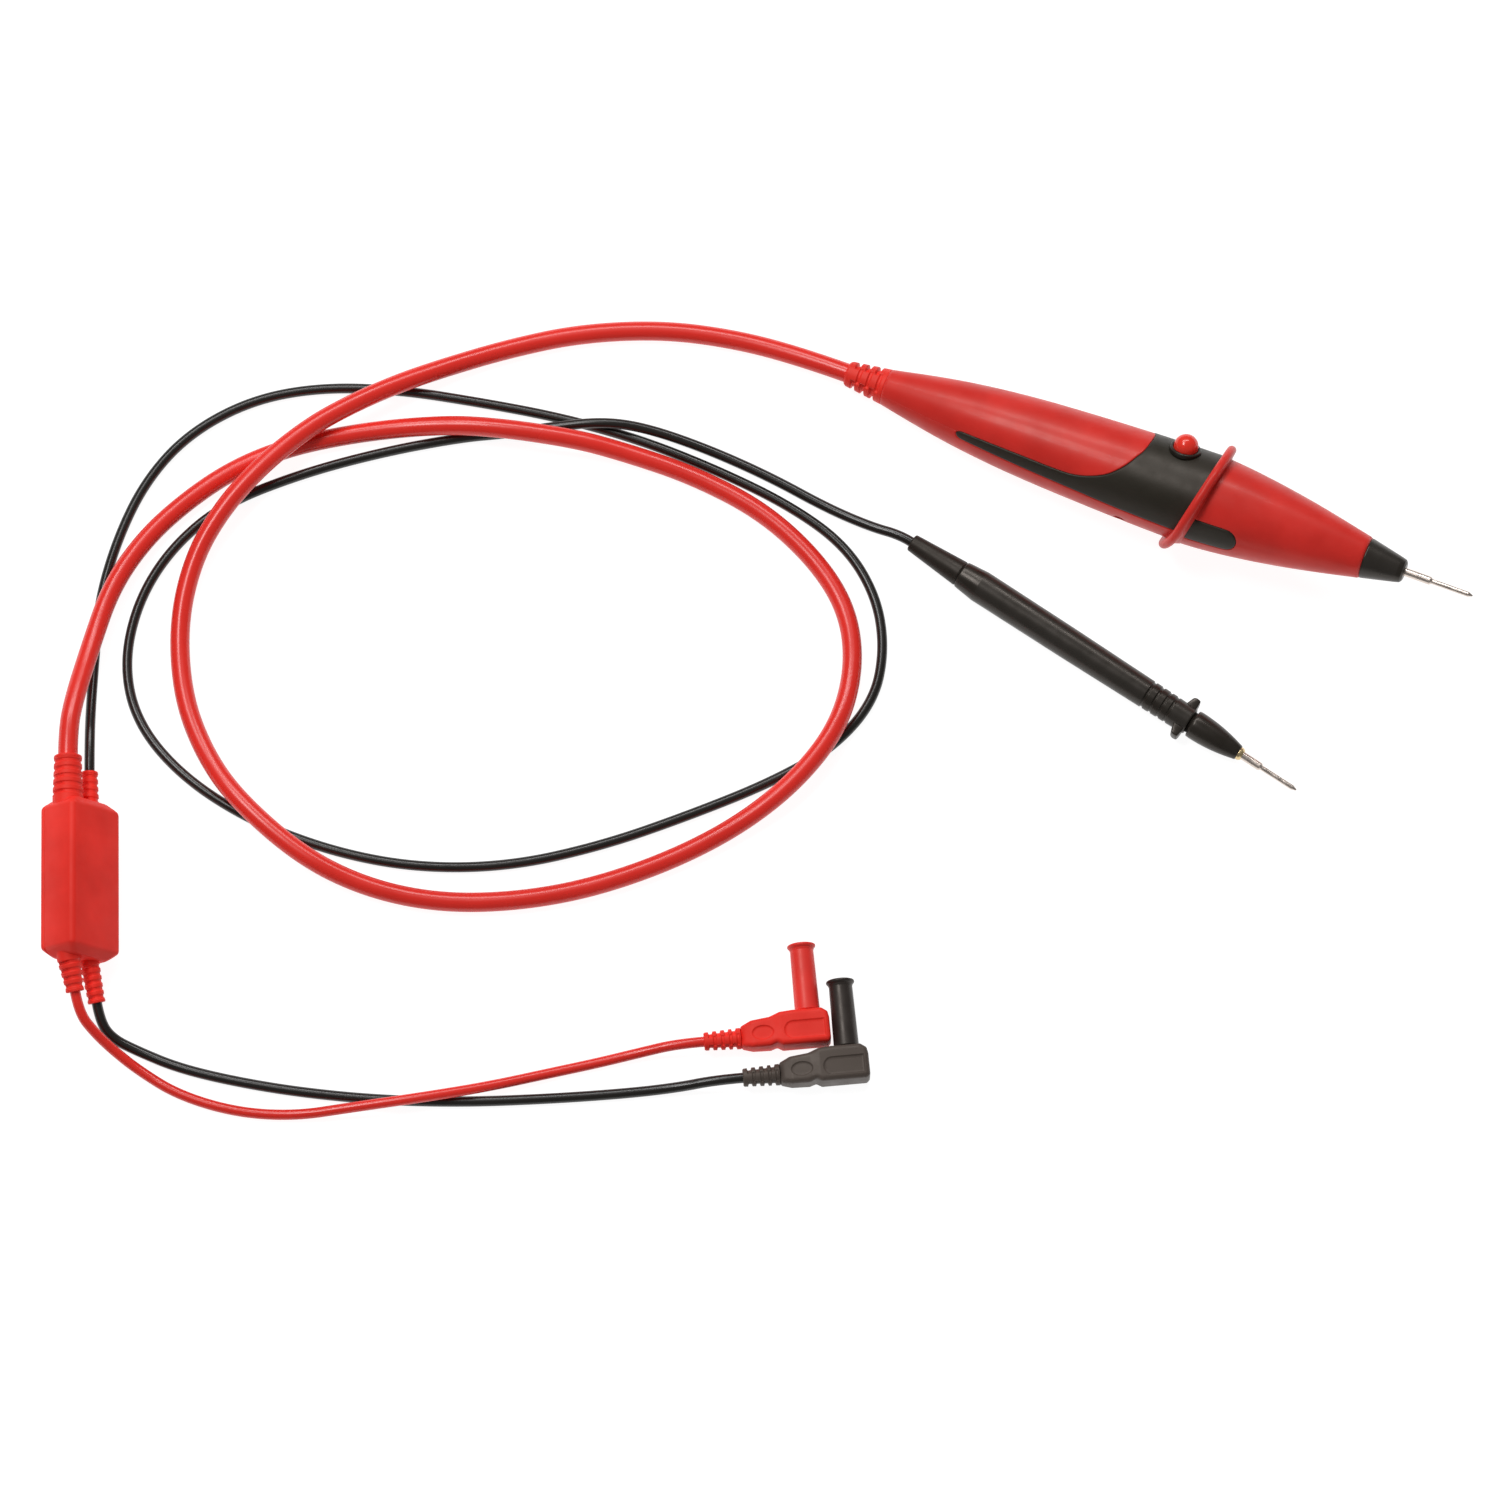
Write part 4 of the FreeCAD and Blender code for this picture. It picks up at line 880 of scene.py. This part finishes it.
def rear_boot():
    """The ribbed boot where the thick cable enters the handle."""
    outline = rounded([(0.0, 3.1), (0.0, 3.9), (0.7, 4.35), (BOOT_LENGTH, 6.2), (BOOT_LENGTH, 4.0)], 0.35)
    swell = brick_slots((2.6, 6.2, 9.8), 1.5, 1.15, radians(144.0), 0.42, 0.8, BOOT_LENGTH - 0.5)
    mesh = lathe(spread(outline), 112, swell)
    build("red_cable_boot", mesh, RED_PROBE, "red_soft_pvc", "probe_rear_boot")


def needle(start, shank_end, end, radius):
    """A contact needle: a thicker shank, a thin pin and a short point."""
    outline = [(start, 0.0), (start, SHANK_RADIUS), (shank_end - 0.7, SHANK_RADIUS), (shank_end, radius),
               (end - 1.6, radius), (end - 0.25, 0.32), (end, 0.12), (end, 0.0)]
    return lathe(rounded(outline, 0.25), 48)


def probe_front():
    """The insulating collar and the needle of the loading probe."""
    build("nose_tip_collar", lathe(rounded(COLLAR, 0.45), 96), RED_PROBE, "black_abs", "tip_collar")
    build("red_probe_needle_pin", needle(164.0, 208.5, 222.6, 0.88), RED_PROBE, "nickel",
          "red_contact_needle")


def coil(low, high, radius, wire_radius, turns, per_turn=24, sides=10):
    """A round wire wound about X."""
    mesh = bmesh.new()
    rings = []
    steps = int(turns * per_turn)
    angles = [tau * side / sides for side in range(sides)]
    for step in range(steps + 1):
        turn = tau * step / per_turn
        outward = Vector((0.0, cos(turn), sin(turn)))
        middle = X * (low + (high - low) * step / steps) + outward * radius
        around = [cos(angle) * outward + sin(angle) * X for angle in angles]
        rings.append([mesh.verts.new(middle + wire_radius * offset) for offset in around])
    mesh.faces.new(rings[0])
    mesh.faces.new(rings[-1])
    return skinned(mesh, rings)


def return_spring(upright):
    """The coil under the button, given a mesh of its own."""
    wound = coil(SPRING_LOW, SPRING_HIGH, SPRING_RADIUS, SPRING_WIRE_RADIUS, SPRING_TURNS)
    spring = build("return_coil", wound, upright, "spring_steel", "button_spring")
    tuple(-Vector(JOINTS["button_press"]["axis"]))
    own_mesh(spring)


def button():
    """The domed push button, the bezel round it and the spring under it."""
    upright = RED_PROBE @ shifted(BUTTON_STATION) @ UPRIGHT
    dome = [(BUTTON_SHOULDER + (BUTTON_TOP - BUTTON_SHOULDER) * sin(QUARTER * i / 14),
             BUTTON_RADIUS * cos(QUARTER * i / 14)) for i in range(14)]
    cap = lathe([(BUTTON_BASE, 0.0), (BUTTON_BASE, BUTTON_RADIUS - 0.1), (BUTTON_BASE + 0.1, BUTTON_RADIUS)]
                + dome + [(BUTTON_TOP, 0.0)], 64)
    build("button_cap", cap, upright, "red_button", "push_button", body="button")
    inner = BUTTON_RADIUS + 0.08
    lip = [(12.8, inner), (BEZEL_TOP - 0.25, inner), (BEZEL_TOP, inner + 0.25), (BEZEL_TOP, 4.85),
           (BEZEL_TOP - 0.12, 5.1), (BEZEL_TOP - 0.4, 5.25), (15.4, 5.25), (15.1, BEZEL_RADIUS),
           (12.8, BEZEL_RADIUS), (12.8, inner)]
    build("button_ring", lathe(rounded(lip, 0.12), 72), upright, "black_abs", "button_bezel")
    return_spring(upright)


# ---------------- black probe

def prism(outline, low, high, edge):
    """An upright slab from a flat outline, with all its edges rounded."""
    mesh = bmesh.new()
    floor = mesh.faces.new([mesh.verts.new((x, y, low)) for x, y in outline])
    top = bmesh.ops.extrude_face_region(mesh, geom=[floor])["geom"]
    bmesh.ops.translate(mesh, vec=(0, 0, high - low), verts=only_verts(top))
    bmesh.ops.recalc_face_normals(mesh, faces=mesh.faces)
    bmesh.ops.bevel(mesh, geom=mesh.edges[:], offset=edge, segments=3, profile=0.5, affect="EDGES")
    return mesh


def black_probe():
    """Boot, handle with ring grooves and finger wings, bullet nose, ferrule and needle."""
    start = BLACK_BOOT_LENGTH
    boot = [(0.0, 1.3), (0.0, 2.75), (0.4, 3.0), (start - 0.6, 4.4), (start, 4.15), (start, 2.0)]
    build("black_probe_lead_boot", lathe(rounded(boot, 0.3), 80), BLACK_PROBE, "black_soft_pvc",
          "black_probe_boot")
    outline = [(start, 2.0), (start, 4.55), (start + 1.2, 4.75), (start + 7.5, 5.45),
               (BELLY_STATION, BELLY_RADIUS)]
    for groove in GRIP_GROOVES:
        radius = BELLY_RADIUS - (groove - BELLY_STATION) * 0.5 / 43.0
        outline += [(groove, radius), (groove + 0.15, GROOVE_FLOOR), (groove + 0.85, GROOVE_FLOOR),
                    (groove + 1.0, radius)]
    outline += [(105.0, 4.8), (BLACK_HANDLE_END, 4.6), (BLACK_HANDLE_END, 2.0)]
    body = lathe(rounded(outline, 0.5), 96)
    for side in (-1, 1):
        wing = [(x, side * y) for x, y in WING][::side]
        joined(body, prism(wing, -WING_HALF_WIDTH, WING_HALF_WIDTH, 0.55))
    build("black_probe_grip", body, BLACK_PROBE, "black_abs", "black_probe_handle")
    tip = BLACK_HANDLE_END + 1.0
    span = BLACK_NOSE_END - tip
    bullet = [(tip + span * t, 4.8 + 0.5 * t - 2.8 * t * t) for t in (i / 16 for i in range(17))]
    nose_outline = [(BLACK_HANDLE_END, 2.0), (BLACK_HANDLE_END, 3.7), (tip, 3.7)]
    nose_outline += [(tip, 4.55), (tip + 0.1, 4.72)] + bullet[1:-1] + [(BLACK_NOSE_END - 0.2, 2.6)]
    nose_outline += [(BLACK_NOSE_END, 2.4), (BLACK_NOSE_END, 1.4)]
    build("black_probe_bullet", lathe(nose_outline, 80), BLACK_PROBE, "black_abs", "black_probe_nose")
    ferrule = rounded([(BLACK_NOSE_END, 1.4), (BLACK_NOSE_END, 2.3), (BLACK_NOSE_END + 0.9, 2.2),
                       (BLACK_NOSE_END + 1.6, 1.7), (BLACK_NOSE_END + 1.6, 1.4)], 0.2)
    build("black_probe_gold_ring", lathe(ferrule, 48), BLACK_PROBE, "brass", "black_probe_ferrule")
    build("black_probe_needle_pin", needle(94.0, 138.6, 152.1, 0.85), BLACK_PROBE, "nickel",
          "black_contact_needle")


# ---------------- junction box

def rounded_rectangle(half_width, half_height, corner, per_corner=8):
    """Points round a rectangle with round corners, across Y."""
    points = []
    for quarter in range(4):
        cx = (half_width - corner) * (1 if quarter in (0, 3) else -1)
        cz = (half_height - corner) * (1 if quarter in (0, 1) else -1)
        for i in range(per_corner + 1):
            angle = QUARTER * (quarter + i / per_corner)
            points.append((cx + corner * cos(angle), cz + corner * sin(angle)))
    return points


def box_form():
    """The hipped box, in rings along Y: (station, share of the hip, size of the ring)."""
    half = BOX_LENGTH / 2
    side = BOX_SIDE / 2
    rows = [(0.0, 0.0, 1.0), (side - 1.0, 0.0, 1.0), (side - 0.4, 0.03, 1.0), (side + 0.1, 0.10, 1.0),
            (side + 0.8, 0.32, 1.0), (half - 0.8, 0.72, 1.0), (half - 0.35, 0.90, 1.0),
            (half - 0.1, 1.0, 0.98), (half, 1.0, 0.94), (half, 1.0, 0.86), (half, 1.0, 0.4),
            (half, 1.0, 0.0)]
    rows = [(-y, hip, size) for y, hip, size in rows[:0:-1]] + rows
    mesh = bmesh.new()
    rings = []
    for y, hip, size in rows:
        if size == 0.0:
            rings.append([mesh.verts.new((0, y, 0))])
            continue
        half_width = BOX_WIDTH / 2 - BOX_HIP * hip
        half_height = BOX_THICKNESS / 2 - 0.7 * BOX_HIP * hip
        outline = rounded_rectangle(half_width, half_height, BOX_CORNER)
        rings.append([mesh.verts.new((x * size, y, z * size)) for x, z in outline])
    return skinned(mesh, rings)


def box_part(name, above, node):
    """The part of the box above or below the joint of its lid, with a fine step along the joint."""
    mesh = box_form()
    split = LID_THICKNESS - BOX_THICKNESS / 2
    for height in (split, split + JOINT_BAND, split - JOINT_BAND):
        geometry = mesh.verts[:] + mesh.edges[:] + mesh.faces[:]
        bmesh.ops.bisect_plane(mesh, geom=geometry, plane_co=(0, 0, height), plane_no=Z)
    lost = [v for v in mesh.verts if (v.co.z < split - 1e-4 if above else v.co.z > split + 1e-4)]
    bmesh.ops.delete(mesh, geom=lost, context="VERTS")
    for vert in [v for v in mesh.verts if v.is_boundary]:
        vert.co.x *= 1 - JOINT_STEP / (BOX_WIDTH / 2)
        vert.co.y *= 1 - JOINT_STEP / (BOX_LENGTH / 2)

    def inward(point):
        return Vector((point.x * 0.92, point.y * 0.96, point.z))
    border_walls(mesh, inward, lambda point: False)
    build(name, mesh, BOX, "red_matte_pvc", node)


def relief(name, node, x, end, length, radii, slots, jacket_radius):
    """A tapered strain relief ringed with grooves that open into slots on its two sides."""
    wide, narrow = radii
    outline = rounded([(-RELIEF_ROOT, 0.0), (-RELIEF_ROOT, wide), (1.0, wide), (length - 1.0, narrow),
                       (length - 0.8, narrow + 0.12), (length, narrow + 0.05), (length, 1.2),
                       (length, 0.0)], 0.3)
    pitch = (length - 1.2) / slots
    lows = [1.2 + index * pitch for index in range(slots)]

    def swell(y, angle):
        if not 0.6 < y < length - 1.0:
            return 0.0
        radius = wide + (narrow - wide) * (y - 1.0) / (length - 1.0)
        floor_level = min(radius, jacket_radius / max(abs(cos(angle)), 1e-3))
        side = step_up(abs(cos(angle)), 0.62, 0.16)
        depth = RING_DEPTH + max(0.0, radius - floor_level - RING_DEPTH) * side
        return -depth * max(pulse(y, low, low + pitch * 0.42, 0.35) for low in lows)
    turn = 0.0 if end == 1 else 180.0 + DROOP
    place = BOX @ shifted(x, end * BOX_LENGTH / 2) @ turned_by(90.0 + turn, "Z")
    build(name, lathe(spread(outline), 96, swell), place, "red_matte_pvc", node)


def junction_box():
    box_part("junction_box_body", True, "junction_tray")
    box_part("junction_box_lid", False, "junction_lid")
    relief("thick_cable_relief", "relief_thick_cable", RED_OFFSETS[0], 1, 14.6, (5.0, 4.5), 5, 4.0)
    relief("black_lead_relief", "relief_black_lead", BLACK_OFFSET, 1, 11.4, (3.1, 2.7), 4, 2.1)
    relief("red_plug_lead_relief", "relief_red_plug_lead", RED_OFFSETS[1], -1, 11.4, (3.9, 2.9), 4, 2.5)
    relief("black_plug_lead_relief", "relief_black_plug_lead", BLACK_OFFSET, -1, 13.4, (3.2, 2.8), 5, 2.1)


# ---------------- plugs

PLUG_PLAN = [(12.0, -3.3), (15.5, -4.1), (21.4, -4.2), (23.6, -3.4), (25.4, -4.4), (40.0, -4.4),
             (41.0, -3.4), (41.0, 3.6), (40.6, 5.6), (38.6, 7.0), (29.0, 7.0), (25.0, 6.7), (21.5, 5.5),
             (15.5, 4.9), (12.0, 3.4)]
PLUG_SIDE = [(12.0, 3.2), (16.0, 4.4), (22.4, 4.8), (25.0, 5.4), (42.0, 5.4)]
PLUG_EDGE = 1.5


def side_height(x):
    return float(np.interp(x, *zip(*PLUG_SIDE)))


def closed_rounded(outline, radius):
    """A closed outline with round corners."""
    middle = tuple((a + b) / 2 for a, b in zip(outline[-1], outline[0]))
    return rounded([middle] + list(outline) + [middle], radius)[:-1]


def plug_body(colour):
    """The moulded elbow, waisted behind its head, with a shallow panel in each broad face."""
    plan = closed_rounded(PLUG_PLAN, 1.0)
    panel_rear = bow(29.0, 0.2, -3.0, -3.1, 10)
    panel = closed_rounded([(39.6, -2.9), (39.6, 3.3)] + panel_rear[::-1], 0.4)
    oval = [(19.2 + 3.7 * cos(2 * pi * i / 40), 0.3 + 2.5 * sin(2 * pi * i / 40))
            for i in range(40)]
    rim = Borders([(plan, True)], PLUG_SPACING)
    dips = [(panel, True), (oval, True)]
    hollows = Borders(dips, PLUG_SPACING)
    borders = Borders([(plan, True)] + dips, PLUG_SPACING)
    flat, faces = divided(plan, borders, PLUG_SPACING, PLUG_ROWS, margin=0.02)
    sunk = inside(flat, panel) | inside(flat, oval)
    sunken = {(round(x, 4), round(y, 4)) for (x, y), low in zip(flat, sunk) if low}

    def lift(x, y):
        depth = 0.0
        if (round(x, 4), round(y, 4)) in sunken:
            depth = PANEL_SUNK * step_up(hollows.distance(x, y), 0.0, 0.5)
        return Vector((x, y, side_height(x) - edge_drop(rim.distance(x, y), PLUG_EDGE) - depth))
    mesh = cut_out(flat, faces, np.ones(len(faces), bool), lift)
    border_walls(mesh, lambda point: Vector((point.x, point.y, 0.0)), lambda point: False)
    build(colour + "_plug_elbow", mirrored(mesh, 2), PLUGS[colour], colour + "_matte_pvc",
          colour + "_plug_body")


def plug_boot(colour):
    """The slotted boot behind the elbow."""
    end = PLUG_BOOT_LENGTH
    outline = rounded([(0.0, 1.3), (0.0, 2.65), (0.4, 2.95), (end, 3.5), (end, 2.0)], 0.3)
    swell = brick_slots((1.6, 4.2, 6.8, 9.2), 1.2, 0.8, radians(107.0), 0.40, 0.6, end - 0.2)
    mesh = lathe(spread(outline), 96, swell)
    build(colour + "_plug_lead_boot", mesh, PLUGS[colour], colour + "_matte_pvc", colour + "_plug_boot")


def pin_cap(colour):
    """The slip-on cap over the pin, with a flared rim and a dished closed end."""
    floor_at = CAP_LENGTH - CAP_FLOOR
    outline = [(floor_at, 0.0), (floor_at, CAP_BORE), (0.15, CAP_BORE), (0.15, 4.1)]
    outline += [(CAP_LENGTH - back, radius) for back, radius in CAP_RIM]
    place = PLUGS[colour] @ shifted(PIN_STATION, PIN_FACE) @ ALONG_Y
    mesh = lathe(rounded(outline, 0.3), 80)
    build(colour + "_cap", mesh, place, colour + "_gloss_cap", colour + "_pin_cap", body=colour + "_cap")


# ---------------- cords

def cord(name, route, diameter, slot, node):
    """A free cord: one smooth spline along its route."""
    curve = bpy.data.curves.new(name, "CURVE")
    curve.dimensions = "3D"
    curve.bevel_depth = diameter / 2
    curve.bevel_resolution = 7
    curve.resolution_u = 14
    curve.use_fill_caps = True
    spline = curve.splines.new("NURBS")
    spline.points.add(len(route) - 1)
    for point, place in zip(spline.points, route):
        point.co = (*place, 1.0)
    spline.order_u = 3
    spline.use_endpoint_u = True
    piece = settle(linked(name, curve), slot, ROOT_BODY, node)
    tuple(route[0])


def cords():
    cord("thick_red_cable", RED_CABLE_ROUTE, CABLE_DIAMETER, "red_cable_jacket",
         "red_cable")
    cord("long_black_lead", BLACK_LEAD_ROUTE, LEAD_DIAMETER, "black_cable_jacket",
         "black_lead")
    plug_leads = (("red", RED_PLUG_LEAD_ROUTE, RED_PLUG_LEAD_LENGTH),
                  ("black", BLACK_PLUG_LEAD_ROUTE, BLACK_PLUG_LEAD_LENGTH))
    for colour, route, length in plug_leads:
        cord(colour + "_lead_to_plug", route, LEAD_DIAMETER, colour + "_cable_jacket",
             colour + "_plug_lead")


# ---------------- stage

def floor():
    """A plain pale floor, lit a little from within so that its shadows stay faint."""
    mesh = bmesh.new()
    bmesh.ops.create_grid(mesh, x_segments=2, y_segments=2, size=3000.0)
    piece = make_piece("floor", mesh, shifted(0, 0, -0.05))
    look = Surface("floor paper", 0.9)
    fill(look.shader, {"Base Color": (0.25, 0.25, 0.25, 1), "Specular IOR Level": 0.0,
                       "Emission Color": (1, 1, 1, 1), "Emission Strength": 0.93})
    piece.data.materials.append(look.material)


def area_light(name, place, size, power):
    """A rectangular lamp that shines at the middle of the frame."""
    data = bpy.data.lights.new(name, "AREA")
    data.shape = "RECTANGLE"
    data.size, data.size_y = size
    data.energy = power
    lamp = linked(name, data)
    lamp.location = place
    lamp.rotation_euler = (-Vector(place)).to_track_quat("-Z", "Y").to_euler()


def lights():
    """Soft studio light: a dim room, a long softbox behind and a weaker one above."""
    world = bpy.data.worlds.new("studio")
    world.use_nodes = True
    fill(world.node_tree.nodes["Background"], {"Color": (1, 1, 1, 1), "Strength": 0.20})
    bpy.context.scene.world = world
    area_light("back_softbox", (-0.1, 1.2, 1.5), (1.6, 0.35), 17.0)
    area_light("top_softbox", (-0.75, 0.40, 1.9), (0.7, 0.5), 16.0)
    bpy.context.scene.view_settings.view_transform = "Standard"


def camera():
    lean = radians(CAMERA_ELEVATION)
    data = bpy.data.cameras.new("camera")
    data.lens = CAMERA_LENS
    data.sensor_width = 36.0
    data.clip_end = 20.0
    holder = linked("camera", data)
    holder.location = CAMERA_TARGET + CAMERA_DISTANCE * Vector((0, -cos(lean), sin(lean)))
    holder.rotation_euler = (QUARTER - lean, 0, 0)
    bpy.context.scene.camera = holder


def carried_over_nodes():
    """Materials for the CAD nodes that show as they are."""
    for part in frame["record"]["subparts"]:
        data = frame["nodes"][part["node"]].data
        data.materials.clear()
        data.materials.append(MATERIALS[part["material_slot"]])


carried_over_nodes()
handle()
nose()
rear_boot()
probe_front()
button()
black_probe()
junction_box()
for colour in PLUGS:
    plug_body(colour)
    plug_boot(colour)
    pin_cap(colour)
cords()
floor()
lights()
camera()
